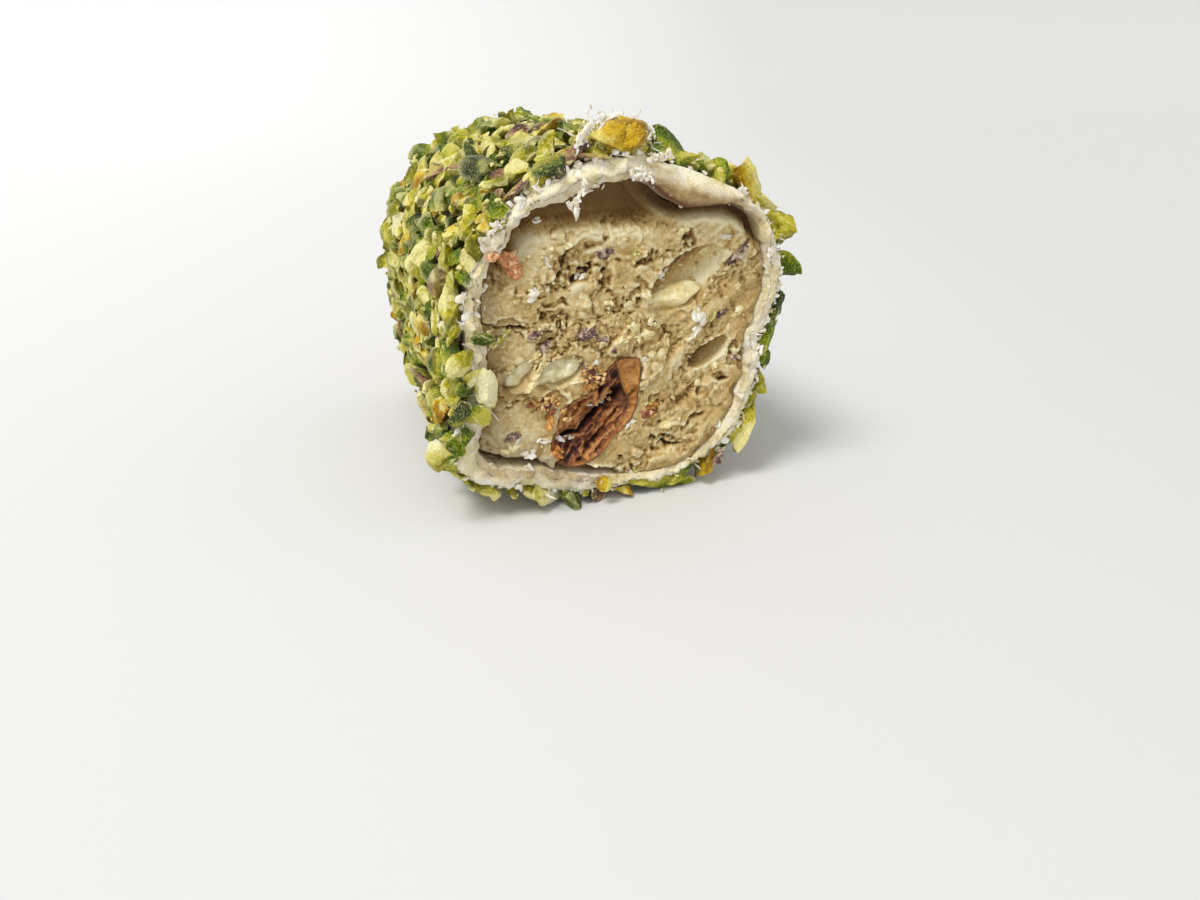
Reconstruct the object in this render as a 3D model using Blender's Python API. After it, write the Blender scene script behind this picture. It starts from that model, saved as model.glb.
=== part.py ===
"""A cut length of a Turkish delight roll: a nut and fig filling in a soft wrapper coated in chopped pistachios.

Units are metres and +Z is up. The roll lies on its coating with its axis along Y, and the cut face at -Y is the
front. Angles round the axis are in degrees, from +X towards +Z, as seen from the front.
"""
import random
from functools import partial
from math import cos, exp, hypot, pi, radians, sin

import bmesh
import bpy
from mathutils import Matrix, Vector, noise

MM = 0.001

# Driving dimensions of the roll
LENGTH = 47 * MM
# The middle of the roll's axis, which centres its box on the origin
MIDDLE = (0.0 * MM, 0.31 * MM, 21.2 * MM)
WRAPPER_RADIUS = 19.7 * MM
WRAPPER_THICKNESS = 2.5 * MM
GAP = 0.3 * MM

# Lobes of the section, each (angle, height, spread): the soft roll has slumped into a rounded square with one
# sharp lower fold, and its wrapper is thickest where it overlaps at the top.
OUTER_LOBES = (
    (88, 0.4 * MM, 12),
    (35, 2.1 * MM, 14),
    (16, 1.0 * MM, 8),
    (-8, -1.0 * MM, 6),
    (-50, 1.6 * MM, 14),
    (-120, 1.1 * MM, 14),
    (-143, 4.6 * MM, 9.5),
    (-178, -1.2 * MM, 10),
    (160, -0.4 * MM, 10),
)
THICKNESS_LOBES = (
    (66, 1.7 * MM, 9),
    (37, -1.3 * MM, 8),
    (-70, -1.3 * MM, 18),
    (-125, 0.5 * MM, 16),
    (-155, 1.0 * MM, 10),
    (153, -0.8 * MM, 9),
    (129, -0.9 * MM, 6),
    (100, 0.4 * MM, 8),
)
LOBE_LEFT_AT_BACK = 0.45
# A gentle wave that comes up towards the back
WAVE = 0.35 * MM

# Facets
SEGMENTS = 48
WRAPPER_STATIONS = 5
FILLING_STATIONS = 5
FRONT_RINGS = 10
BACK_RINGS = 7

# The cut faces
FACE_RECESS = 0.8 * MM
FLAP_ANGLE = 62
FLAP_SPREAD = 13
FLAP_REACH = 1.1 * MM
RIM_ROUNDING = 0.6 * MM
RIM_TEAR = 0.45 * MM
CRUMB_RELIEF = 0.55 * MM
CRUMB_SIZE = 3.2 * MM
# The hollow under the wrapper's top at the front, with its depth and where its lower and right edges begin
TOP_HOLLOW = 1.8 * MM
TOP_HOLLOW_Z = 11.3 * MM
TOP_HOLLOW_X = 6 * MM
# The ledge over the lower left fold, with its drop and its height at its left end
LEDGE_DROP = 2.2 * MM
LEDGE_Z = -13.2 * MM
LEDGE_X = -14 * MM
LEDGE_SLOPE = 0.3

# Soft dents in the cut faces, each (x, z, length, width, tilt, depth) from the roll's axis
FRONT_DENTS = (
    (8.3 * MM, 10.3 * MM, 4.0 * MM, 3.6 * MM, -50, 1.0 * MM),
    (-4.7 * MM, 9.6 * MM, 6.0 * MM, 3.6 * MM, 20, 1.3 * MM),
    (-2.1 * MM, 6.5 * MM, 5.0 * MM, 3.4 * MM, 80, 1.1 * MM),
    (-8.0 * MM, 3.2 * MM, 7.5 * MM, 3.6 * MM, -10, 1.1 * MM),
    (-12.8 * MM, -6.2 * MM, 4.2 * MM, 3.4 * MM, 20, 1.0 * MM),
    (6.0 * MM, -14.2 * MM, 6.0 * MM, 3.2 * MM, -12, 1.2 * MM),
    (12.4 * MM, -8.2 * MM, 4.4 * MM, 3.4 * MM, 0, 1.0 * MM),
)
BACK_DENTS = (
    (4.0 * MM, 10.5 * MM, 7.0 * MM, 3.6 * MM, 10, 1.3 * MM),
    (9.5 * MM, 2.0 * MM, 5.0 * MM, 3.8 * MM, 60, 1.4 * MM),
    (4.5 * MM, -13.5 * MM, 6.5 * MM, 3.4 * MM, 15, 1.2 * MM),
    (-3.0 * MM, 1.0 * MM, 6.0 * MM, 4.0 * MM, -40, 1.0 * MM),
)
# Deep smooth hollows in the cut faces, each (x, z, length, width, tilt, end), with end -1 at the front
HOLLOWS = (
    (8.2 * MM, 6.5 * MM, 10.0 * MM, 4.6 * MM, 30, -1),
    (11.5 * MM, -3.5 * MM, 5.5 * MM, 2.4 * MM, 35, -1),
    (-9.0 * MM, 7.4 * MM, 9.0 * MM, 4.4 * MM, -25, 1),
    (-10.5 * MM, -5.0 * MM, 5.0 * MM, 2.6 * MM, 30, 1),
)
HOLLOW_PROUD = 2.4 * MM

# The strip of fig that runs through the roll: (x, z) of its middle and its tilt, at the front and the back
FIG_FRONT = (-3.3 * MM, -9.6 * MM, 49)
FIG_BACK = (-1.5 * MM, -8.0 * MM, 28)
# How far its outline reaches at every 15 degrees from its long axis, in millimetres
FIG_FRONT_REACH = (8.5, 6.2, 4.1, 3.0, 2.6, 3.0, 3.6, 4.1, 4.1, 4.3, 5.0, 6.6,
                   7.2, 6.9, 6.2, 5.4, 4.5, 4.0, 3.9, 4.2, 4.8, 5.3, 5.8, 6.9)
FIG_BACK_REACH = (7.1, 6.8, 5.9, 5.0, 4.4, 4.0, 3.8, 3.9, 4.3, 4.9, 5.8, 6.6,
                  6.9, 6.8, 6.0, 5.1, 4.4, 4.1, 4.0, 4.1, 4.5, 5.1, 6.0, 6.9)
FIG_STATIONS = 5
FIG_RINGS = 3
FIG_RELIEF = 0.5 * MM
FIG_RIDGE_SIZE = 1.6 * MM
FIG_HOLLOW = 1.1 * MM
POCKET_OVERRUN = 5 * MM

# Whole kernels that show at a cut, each (name, x, z, length, width, tilt, end, proud), with end -1 at the front
# and proud the height above the face
KERNELS = (
    ("kernel_front_right", 7.0 * MM, 3.7 * MM, 7.2 * MM, 3.0 * MM, 15, -1, 0.6 * MM),
    ("kernel_front_left", -7.4 * MM, -3.7 * MM, 6.4 * MM, 3.2 * MM, 18, -1, 0.5 * MM),
    ("kernel_front_edge", -12.3 * MM, -3.4 * MM, 4.6 * MM, 2.2 * MM, 35, -1, 0.5 * MM),
    ("kernel_back_left", -8.0 * MM, 5.4 * MM, 7.0 * MM, 3.2 * MM, -20, 1, 0.7 * MM),
    ("kernel_back_right", 9.0 * MM, -6.5 * MM, 6.0 * MM, 3.0 * MM, 40, 1, 0.6 * MM),
)
KERNEL_DEPTH = 4.4 * MM
# Its girth at the blunt end and how much of that it loses on the way to the pointed one
KERNEL_BLUNT = 1.08
KERNEL_TAPER = 0.22
KERNEL_SIDES = 10
KERNEL_RINGS = 7

# Chopped pistachios on the wrapper
PISTACHIO_PITCH = 5.4 * MM
PISTACHIO_ROWS = 9
PISTACHIO_LENGTH = (3.6 * MM, 5.2 * MM)
PISTACHIO_THICKNESS = 0.72
PISTACHIO_RISE = (0.0, 0.25)
# The rings of a chopped piece, each (level in thicknesses, share of its full girth)
PISTACHIO_LEVELS = ((-0.5, 0.85), (0.2, 0.9))
PISTACHIO_SEED = 11
END_MARGIN = 1.3 * MM
# Large ones that show at the front, each (angle, y from the front, length, width, turn)
LARGE_PISTACHIOS = (
    (90, 1.2 * MM, 6.0 * MM, 2.8 * MM, 90),
    (74, 1.5 * MM, 4.6 * MM, 3.0 * MM, 80),
    (106, 1.6 * MM, 4.4 * MM, 2.6 * MM, 60),
    (46, 1.5 * MM, 5.2 * MM, 3.0 * MM, 90),
    (27, 1.8 * MM, 4.6 * MM, 3.6 * MM, 80),
    (15, 1.6 * MM, 3.4 * MM, 2.8 * MM, 40),
    (4, 1.4 * MM, 4.8 * MM, 2.4 * MM, 90),
    (-8, 1.4 * MM, 5.0 * MM, 2.4 * MM, 90),
    (-38, 1.6 * MM, 7.2 * MM, 3.4 * MM, 90),
    (-57, 1.5 * MM, 4.4 * MM, 3.4 * MM, 30),
    (-76, 1.2 * MM, 8.0 * MM, 2.6 * MM, 90),
    (-98, 1.2 * MM, 3.2 * MM, 2.4 * MM, 20),
    (-179, 1.2 * MM, 3.4 * MM, 2.8 * MM, 90),
    (166, 1.2 * MM, 3.8 * MM, 2.6 * MM, 90),
    (125, 14.0 * MM, 5.6 * MM, 3.4 * MM, 20),
    (123, 22.0 * MM, 5.8 * MM, 3.2 * MM, -30),
    (162, 8.0 * MM, 6.0 * MM, 3.6 * MM, 10),
    (140, 25.0 * MM, 6.4 * MM, 2.4 * MM, 15),
)

# Colour, roughness and metallic value of each material
MATERIALS = {
    "wrapper": ((0.55, 0.44, 0.24, 1), 0.6, 0.0),
    "filling": ((0.47, 0.34, 0.16, 1), 0.75, 0.0),
    "fig": ((0.10, 0.03, 0.01, 1), 0.5, 0.0),
    "kernel": ((0.62, 0.48, 0.22, 1), 0.45, 0.0),
}


def smooth_step(value):
    value = min(1.0, max(0.0, value))
    return value * value * (3 - 2 * value)


def lobe_sum(lobes, angle):
    """The lobes' heights added up at an angle, each a bell across its spread."""
    total = 0.0
    for middle, height, spread in lobes:
        away = (angle - middle + 180) % 360 - 180
        total += height * exp(-0.5 * (away / spread) ** 2)
    return total


def outer_radius(angle, y):
    """The wrapper's outside, whose lobes fade towards the back."""
    along = y / LENGTH + 0.5
    fade = 1 + (LOBE_LEFT_AT_BACK - 1) * smooth_step(along)
    wave = WAVE * sin(radians(2 * angle) + 5 * along)
    return WRAPPER_RADIUS + fade * lobe_sum(OUTER_LOBES, angle) + along * wave


def inner_radius(angle, y):
    """The wrapper's inside."""
    along = y / LENGTH + 0.5
    fade = 1 + (LOBE_LEFT_AT_BACK - 1) * smooth_step(along)
    return outer_radius(angle, y) - WRAPPER_THICKNESS - fade * lobe_sum(THICKNESS_LOBES, angle)


def flap(angle):
    """How much of the overlap's lip stands at an angle, from 0 to 1."""
    away = (angle - FLAP_ANGLE + 180) % 360 - 180
    return exp(-0.5 * (away / FLAP_SPREAD) ** 2)


def rim_end(angle, end):
    """Where the wrapper ends, at the front for end -1 and at the back for end 1."""
    turn = radians(angle)
    tear = RIM_TEAR * noise.noise(Vector((3 * cos(turn), 3 * sin(turn), 4.0 * end)))
    reach = FLAP_REACH * flap(angle) if end < 0 else 0.0
    return end * (LENGTH / 2 - RIM_ROUNDING + tear + reach)


def dent_depth(dents, x, z):
    """The depth of the dents at a place on a cut face."""
    depth = 0.0
    for dent_x, dent_z, length, width, tilt, deep in dents:
        turn = radians(tilt)
        along = (x - dent_x) * cos(turn) + (z - dent_z) * sin(turn)
        across = (z - dent_z) * cos(turn) - (x - dent_x) * sin(turn)
        depth += deep * exp(-2 * hypot(2 * along / length, 2 * across / width) ** 2)
    return depth


def crumbs(x, z, end):
    """The crumbly relief of a cut face."""
    place = Vector((x / CRUMB_SIZE, z / CRUMB_SIZE, 7.5 * end))
    return CRUMB_RELIEF * (noise.noise(place) + 0.6 * noise.noise(2.1 * place))


def front_recess(x, z):
    """How far the front face lies behind the wrapper's rim, deeper under the top and below the lower ledge."""
    top = smooth_step((z - TOP_HOLLOW_Z) / (2.6 * MM)) * smooth_step((TOP_HOLLOW_X - x) / (5 * MM))
    ledge_z = LEDGE_Z - LEDGE_SLOPE * (x - LEDGE_X)
    ledge = smooth_step((ledge_z - z) / (1.0 * MM)) * smooth_step((1 * MM - x) / (2 * MM))
    rough = (1 - 0.8 * top) * crumbs(x, z, -1)
    return FACE_RECESS + TOP_HOLLOW * top + LEDGE_DROP * ledge + rough + dent_depth(FRONT_DENTS, x, z)


def back_recess(x, z):
    """How far the back face lies behind the wrapper's rim."""
    return FACE_RECESS + crumbs(x, z, 1) + dent_depth(BACK_DENTS, x, z)


def face_y(x, z, end, part=1.0):
    """Where a cut face lies along the roll, at any part of the way out to its border."""
    recess = front_recess(x, z) if end < 0 else back_recess(x, z)
    return end * (LENGTH / 2 - max(0.0, recess))


def material(name):
    """The named Principled material."""
    colour, roughness, metallic = MATERIALS[name]
    made = bpy.data.materials.get(name) or bpy.data.materials.new(name)
    made.use_nodes = True
    shader = made.node_tree.nodes["Principled BSDF"]
    shader.inputs["Base Color"].default_value = colour
    shader.inputs["Roughness"].default_value = roughness
    shader.inputs["Metallic"].default_value = metallic
    return made


def mesh_object(name, points, faces, collection=None):
    """An object from points and faces, with its faces turned outwards."""
    mesh = bpy.data.meshes.new(name)
    mesh.from_pydata(points, [], faces)
    shape = bmesh.new()
    shape.from_mesh(mesh)
    bmesh.ops.recalc_face_normals(shape, faces=shape.faces)
    shape.to_mesh(mesh)
    shape.free()
    made = bpy.data.objects.new(name, mesh)
    (collection or bpy.context.scene.collection).objects.link(made)
    return made


def lattice_faces(columns, rows, close_rows):
    """Quads of a lattice of columns that goes round, with its rows open or closed."""
    faces = []
    last = rows if close_rows else rows - 1
    for c in range(columns):
        d = (c + 1) % columns
        for r in range(last):
            s = (r + 1) % rows
            faces.append((c * rows + r, d * rows + r, d * rows + s, c * rows + s))
    return faces


def make_wrapper():
    """The wrapper as a closed ring wall with rounded, torn rims."""
    points = []
    rows = 0
    for c in range(SEGMENTS):
        angle = 360 * c / SEGMENTS
        turn = radians(angle)
        front = rim_end(angle, -1)
        back = rim_end(angle, 1)
        wall = []
        for s in range(WRAPPER_STATIONS):
            y = front + (back - front) * s / (WRAPPER_STATIONS - 1)
            wall.append((outer_radius(angle, y), y))
        wall += rim_points(angle, back, 1)
        for s in reversed(range(FILLING_STATIONS)):
            y = front + (back - front) * s / (FILLING_STATIONS - 1)
            wall.append((inner_radius(angle, y), y))
        wall += reversed(rim_points(angle, front, -1))
        rows = len(wall)
        points += [(r * cos(turn), y, r * sin(turn)) for r, y in wall]
    return mesh_object("wrapper", points, lattice_faces(SEGMENTS, rows, True))


def rim_points(angle, y, end):
    """The rounded end of the wall at an angle, from its outside to its inside."""
    outer = outer_radius(angle, y)
    inner = inner_radius(angle, y)
    dome = RIM_ROUNDING * (1 + flap(angle) * (end < 0))
    return [(outer + (inner - outer) * part, y + end * dome * sin(pi * part)) for part in (0.22, 0.5, 0.78)]


def make_cap(points, first, count, centre, rings, place):
    """Closes a border ring with rings that lose points towards the centre, and gives the faces."""
    border = [(points[first + c][0], points[first + c][2]) for c in range(count)]
    faces = []
    outer, outer_count = first, count
    for ring in reversed(range(1, rings)):
        part = ring / rings
        inner, inner_count = len(points), max(6, round(count * part ** 0.8))
        for c in range(inner_count):
            turn = c * count / inner_count
            low, high = border[int(turn)], border[(int(turn) + 1) % count]
            edge = [a + (b - a) * (turn - int(turn)) for a, b in zip(low, high)]
            x, z = [m + (e - m) * part for m, e in zip(centre, edge)]
            points.append((x, place(x, z, part=part), z))
        faces += zip_faces(outer, outer_count, inner, inner_count)
        outer, outer_count = inner, inner_count
    points.append((centre[0], place(*centre, part=0.0), centre[1]))
    faces += [(outer + c, outer + (c + 1) % outer_count, len(points) - 1) for c in range(outer_count)]
    return faces


def zip_faces(outer, outer_count, inner, inner_count):
    """Triangles between two rings whose points lie at even shares of the way round."""
    faces = []
    a = b = 0
    while a < outer_count or b < inner_count:
        here = (outer + a % outer_count, inner + b % inner_count)
        if (a + 1) * inner_count <= (b + 1) * outer_count:
            a += 1
            faces.append((here[0], outer + a % outer_count, here[1]))
        else:
            b += 1
            faces.append((here[0], inner + b % inner_count, here[1]))
    return faces


def ring_faces(first, second, count):
    """Quads between two rings of points."""
    return [(first + c, first + (c + 1) % count, second + (c + 1) % count, second + c) for c in range(count)]


def make_filling():
    """The filling, whose two cut faces have crumbly relief."""
    points = []
    for s in range(FILLING_STATIONS):
        for c in range(SEGMENTS):
            angle = 360 * c / SEGMENTS
            turn = radians(angle)
            y = -LENGTH / 2 + LENGTH * s / (FILLING_STATIONS - 1)
            r = inner_radius(angle, y) - GAP
            x, z = r * cos(turn), r * sin(turn)
            if s in (0, FILLING_STATIONS - 1):
                y = face_y(x, z, -1 if s == 0 else 1)
            points.append((x, y, z))
    faces = []
    for s in range(FILLING_STATIONS - 1):
        faces += ring_faces(s * SEGMENTS, (s + 1) * SEGMENTS, SEGMENTS)
    back = (FILLING_STATIONS - 1) * SEGMENTS
    faces += make_cap(points, 0, SEGMENTS, (0.0, 0.0), FRONT_RINGS, partial(face_y, end=-1))
    faces += make_cap(points, back, SEGMENTS, (0.0, 0.0), BACK_RINGS, partial(face_y, end=1))
    return mesh_object("filling", points, faces)


def fig_border(along, grow):
    """The outline of the fig strip at a place from 0 at the front to 1 at the back."""
    x, z, tilt = [a + (b - a) * along for a, b in zip(FIG_FRONT, FIG_BACK)]
    border = []
    for c, (front, back) in enumerate(zip(FIG_FRONT_REACH, FIG_BACK_REACH)):
        reach = (front + (back - front) * along) * MM + grow
        turn = radians(tilt + 360 * c / len(FIG_FRONT_REACH))
        border.append((x + reach * cos(turn), z + reach * sin(turn)))
    return (x, z), border


def fig_y(x, z, end, part):
    """The fig's cut end, ridged and sunk in its middle, where part is 0."""
    ridges = FIG_RELIEF * noise.noise(Vector((x / FIG_RIDGE_SIZE, z / FIG_RIDGE_SIZE, 3.0 * end)))
    return end * (LENGTH / 2 - FACE_RECESS - FIG_HOLLOW * (1 - part) + ridges)


def make_fig(name, grow=0.0, overrun=0.0):
    """The fig strip, or its cutter when it is grown and overruns both cut faces."""
    rings = []
    centres = []
    for s in range(FIG_STATIONS):
        along = s / (FIG_STATIONS - 1)
        centre, border = fig_border(along, grow)
        centres.append(centre)
        if s == 0:
            rings.append([(x, fig_y(x, z, -1, 1.0), z) for x, z in border])
        elif s == FIG_STATIONS - 1:
            rings.append([(x, fig_y(x, z, 1, 1.0), z) for x, z in border])
        else:
            rings.append([(x, LENGTH * (along - 0.5), z) for x, z in border])
    if overrun:
        rings.insert(0, [(x, y - overrun, z) for x, y, z in rings[0]])
        rings.append([(x, y + overrun, z) for x, y, z in rings[-1]])
    count = len(rings[0])
    points = [point for ring in rings for point in ring]
    faces = []
    for s in range(len(rings) - 1):
        faces += ring_faces(s * count, (s + 1) * count, count)
    back = (len(rings) - 1) * count
    if overrun:
        faces += [tuple(range(count)), tuple(range(back, back + count))]
    else:
        faces += make_cap(points, 0, count, centres[0], FIG_RINGS, partial(fig_y, end=-1))
        faces += make_cap(points, back, count, centres[-1], FIG_RINGS, partial(fig_y, end=1))
    return mesh_object(name, points, faces)


def make_kernel(name, x, z, length, width, tilt, end, proud, grow=0.0):
    """A nut kernel, blunt at one end and pointed at the other, or its cutter when it is grown."""
    half = length / 2 + grow
    points = []
    for ring in range(1, KERNEL_RINGS):
        part = ring / KERNEL_RINGS
        u = -half * cos(pi * part)
        girth = sin(pi * part) ** 0.8 * (KERNEL_BLUNT - KERNEL_TAPER * part)
        for c in range(KERNEL_SIDES):
            phase = 2 * pi * c / KERNEL_SIDES
            v = (width / 2 * girth + grow) * cos(phase)
            w = (KERNEL_DEPTH / 2 * girth + grow) * sin(phase)
            points.append((u, w, v))
    points += [(-half, 0.0, 0.0), (half, 0.0, 0.0)]
    faces = []
    for ring in range(KERNEL_RINGS - 2):
        faces += ring_faces(ring * KERNEL_SIDES, (ring + 1) * KERNEL_SIDES, KERNEL_SIDES)
    last = (KERNEL_RINGS - 2) * KERNEL_SIDES
    for c in range(KERNEL_SIDES):
        d = (c + 1) % KERNEL_SIDES
        faces.append((c, d, len(points) - 2))
        faces.append((last + c, last + d, len(points) - 1))
    made = mesh_object(name, points, faces)
    middle_y = end * (LENGTH / 2 - FACE_RECESS + proud - KERNEL_DEPTH / 2)
    turned = Matrix.Rotation(radians(-tilt), 4, "Y")
    made.data.transform(Matrix.Translation((x, middle_y, z)) @ turned)
    return made


def pistachio_sites(draw):
    """Where the chopped pistachios sit, each (angle, y, length, width, turn, rise)."""
    sites = []
    for angle, from_front, length, width, turn in LARGE_PISTACHIOS:
        sites.append((angle, -LENGTH / 2 + from_front, length, width, turn, PISTACHIO_RISE[1]))
    for row in range(PISTACHIO_ROWS):
        y = -LENGTH / 2 + END_MARGIN + (LENGTH - 2 * END_MARGIN) * row / (PISTACHIO_ROWS - 1)
        count = int(2 * pi * WRAPPER_RADIUS / PISTACHIO_PITCH)
        for c in range(count):
            angle = 360 * (c + 0.5 * (row % 2) + draw.uniform(-0.28, 0.28)) / count
            place = y + draw.uniform(-0.2, 0.2) * PISTACHIO_PITCH
            place = min(LENGTH / 2 - END_MARGIN, max(END_MARGIN - LENGTH / 2, place))
            length = draw.uniform(*PISTACHIO_LENGTH)
            width = length * draw.uniform(0.6, 0.85)
            site = (angle, place, length, width, draw.uniform(0, 180), draw.uniform(*PISTACHIO_RISE))
            bare_flap = flap(angle) > 0.4 and place < -LENGTH / 2 + 3 * MM
            if not bare_flap and not crowded(site, sites[:len(LARGE_PISTACHIOS)]):
                sites.append(site)
    return sites


def crowded(site, others):
    """Whether a site lies on one of the large pieces."""
    for other in others:
        away = (site[0] - other[0] + 180) % 360 - 180
        if hypot(radians(away) * WRAPPER_RADIUS, site[1] - other[1]) < (other[2] + site[3]) / 2.6:
            return True
    return False


def make_pistachio(site, draw, collection):
    """One chopped piece: a six-sided lump with a low crown, pressed into the wrapper."""
    angle, y, length, width, turn, rise = site
    thick = PISTACHIO_THICKNESS * width
    points = []
    for level, share in PISTACHIO_LEVELS:
        for c in range(6):
            phase = 2 * pi * (c + draw.uniform(-0.2, 0.2)) / 6
            out = share * draw.uniform(0.85, 1.1)
            points.append((length / 2 * out * cos(phase), width / 2 * out * sin(phase), level * thick))
    points.append((length * draw.uniform(-0.15, 0.15), width * draw.uniform(-0.1, 0.1), thick / 2))
    faces = ring_faces(0, 6, 6) + [tuple(range(6))]
    faces += [(6 + c, 6 + (c + 1) % 6, len(points) - 1) for c in range(6)]
    made = mesh_object("pistachio", points, faces, collection)
    out = outer_radius(angle, y) + thick * rise
    lift = Matrix.Translation((0, 0, out)) @ Matrix.Rotation(radians(turn + 90), 4, "Z")
    made.data.transform(Matrix.Translation((0, y, 0)) @ Matrix.Rotation(radians(90 - angle), 4, "Y") @ lift)


def boolean(target, operation, operand, solver="EXACT"):
    """Applies a Boolean with one object or a collection to the target's mesh."""
    modifier = target.modifiers.new("boolean", "BOOLEAN")
    modifier.operation = operation
    modifier.solver = solver
    if isinstance(operand, bpy.types.Collection):
        modifier.operand_type = "COLLECTION"
        modifier.collection = operand
    else:
        modifier.object = operand
    graph = bpy.context.evaluated_depsgraph_get()
    result = bpy.data.meshes.new_from_object(target.evaluated_get(graph))
    target.modifiers.clear()
    target.data = result


def remove(made):
    bpy.data.objects.remove(made, do_unlink=True)


def keep_largest_shell(target):
    """Fills sealed hollows and drops loose scraps, by keeping only the shell with the most faces."""
    shape = bmesh.new()
    shape.from_mesh(target.data)
    left = set(shape.faces)
    shells = []
    while left:
        front = [left.pop()]
        shell = list(front)
        while front:
            for edge in front.pop().edges:
                for face in edge.link_faces:
                    if face in left:
                        left.discard(face)
                        shell.append(face)
                        front.append(face)
        shells.append(shell)
    shells.sort(key=len)
    scraps = [face for shell in shells[:-1] for face in shell]
    bmesh.ops.delete(shape, geom=scraps, context="FACES")
    shape.to_mesh(target.data)
    shape.free()


def box(name, low, high):
    """A plain box between two corners."""
    points = [(x, y, z) for x in (low[0], high[0]) for y in (low[1], high[1]) for z in (low[2], high[2])]
    faces = [(0, 1, 3, 2), (4, 6, 7, 5), (0, 4, 5, 1), (2, 3, 7, 6), (0, 2, 6, 4), (1, 5, 7, 3)]
    return mesh_object(name, points, faces)


def coat(wrapper):
    """Fuses the chopped pistachios to the wrapper and cuts the coating flat where the roll rests."""
    draw = random.Random(PISTACHIO_SEED)
    pieces = bpy.data.collections.new("pistachios")
    bpy.context.scene.collection.children.link(pieces)
    for site in pistachio_sites(draw):
        make_pistachio(site, draw, pieces)
    boolean(wrapper, "UNION", pieces, "MANIFOLD")
    for piece in list(pieces.objects):
        remove(piece)
    bpy.data.collections.remove(pieces)
    floor = box("floor_cut", (-LENGTH, -LENGTH, -LENGTH), (LENGTH, LENGTH, -MIDDLE[2]))
    boolean(wrapper, "DIFFERENCE", floor)
    remove(floor)
    keep_largest_shell(wrapper)


def finish(made, slot, roll):
    """Gives a node its material and shading and hangs it on the roll's empty."""
    made.data.materials.clear()
    made.data.materials.append(material(slot))
    made.data.shade_smooth()
    made.data.set_sharp_from_angle(angle=radians(35))
    made.parent = roll


def main():
    for old in list(bpy.data.objects):
        remove(old)
    roll = bpy.data.objects.new("roll", None)
    roll.location = MIDDLE
    bpy.context.scene.collection.objects.link(roll)

    wrapper = make_wrapper()
    coat(wrapper)
    finish(wrapper, "wrapper", roll)

    filling = make_filling()
    fig = make_fig("fig")
    pocket = make_fig("fig_pocket", grow=GAP, overrun=POCKET_OVERRUN)
    boolean(filling, "DIFFERENCE", pocket)
    remove(pocket)
    cutters = [make_kernel("hollow", *hollow, HOLLOW_PROUD) for hollow in HOLLOWS]
    for kernel in KERNELS:
        finish(make_kernel(*kernel), "kernel", roll)
        cutters.append(make_kernel("kernel_pocket", *kernel[1:], grow=GAP))
    for cutter in cutters:
        boolean(filling, "DIFFERENCE", cutter)
        remove(cutter)
    keep_largest_shell(filling)
    finish(filling, "filling", roll)
    finish(fig, "fig", roll)


main()
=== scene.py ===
"""A cut length of a Turkish delight roll on a pale floor: its looks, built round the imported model.

Units are metres and +Z is up, but the tables give their lengths in millimetres. The roll's own points are
worked out from the middle of its axis and moved to MIDDLE at the end. Angles round the axis are in degrees,
from +X towards +Z, as seen from the cut face at -Y. Colours are screen values from 0 to 255.
"""

import random
from itertools import product
from math import cos, hypot, pi, radians, sin

import bmesh
import bpy
import numpy as np
from mathutils import Matrix, Vector


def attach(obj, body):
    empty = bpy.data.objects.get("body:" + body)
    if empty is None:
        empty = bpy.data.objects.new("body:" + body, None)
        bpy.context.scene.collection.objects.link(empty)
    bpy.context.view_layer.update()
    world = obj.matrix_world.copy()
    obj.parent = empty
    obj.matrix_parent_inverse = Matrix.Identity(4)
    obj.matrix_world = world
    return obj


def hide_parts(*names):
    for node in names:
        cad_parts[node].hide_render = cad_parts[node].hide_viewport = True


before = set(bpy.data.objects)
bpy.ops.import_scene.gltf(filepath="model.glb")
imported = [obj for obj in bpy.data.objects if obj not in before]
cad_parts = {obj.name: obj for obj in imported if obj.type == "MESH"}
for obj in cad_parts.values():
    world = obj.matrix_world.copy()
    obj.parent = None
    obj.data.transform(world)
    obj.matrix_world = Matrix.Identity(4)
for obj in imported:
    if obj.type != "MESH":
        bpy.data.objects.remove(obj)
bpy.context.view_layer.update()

MM = 0.001
FRONT, BACK = -1, 1

# The roll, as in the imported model. Each lobe is (angle, height, spread in degrees)
LENGTH = 47 * MM
MIDDLE = Vector((0.0 * MM, 0.31 * MM, 21.2 * MM))
WRAPPER_RADIUS = 19.7 * MM
WRAPPER_THICKNESS = 2.5 * MM
OUTER_LOBES = ((88, 0.4, 12), (35, 2.1, 14), (16, 1.0, 8), (-8, -1.0, 6), (-50, 1.6, 14), (-120, 1.1, 14),
               (-143, 4.6, 9.5), (-178, -1.2, 10), (160, -0.4, 10))
THICKNESS_LOBES = ((66, 1.7, 9), (37, -1.3, 8), (-70, -1.3, 18), (-125, 0.5, 16), (-155, 1.0, 10),
                   (153, -0.8, 9), (129, -0.9, 6), (100, 0.4, 8))
LOBE_LEFT_AT_BACK = 0.45
FACE_RECESS = 0.8 * MM
FLAP_ANGLE = 62
FLAP_SPREAD = 13
FLAP_REACH = 1.1 * MM
RIM_ROUNDING = 0.6 * MM
TOP_HOLLOW = 2.3 * MM
LEDGE_DROP = 2.2 * MM
FILLING_GAP = 0.12 * MM

# Meshes
SKIN_UNDER_COAT = 0.35 * MM
SKIN_COLUMNS = 520
SKIN_ROWS_OUTSIDE = 26
SKIN_ROWS_INSIDE = 10
SKIN_ROWS_RIM = 16
SKIN_RIM_DEPTH = 2.5 * MM
FACE_GRID = {FRONT: 262, BACK: 140}
FIG_GRID = 116

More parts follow.
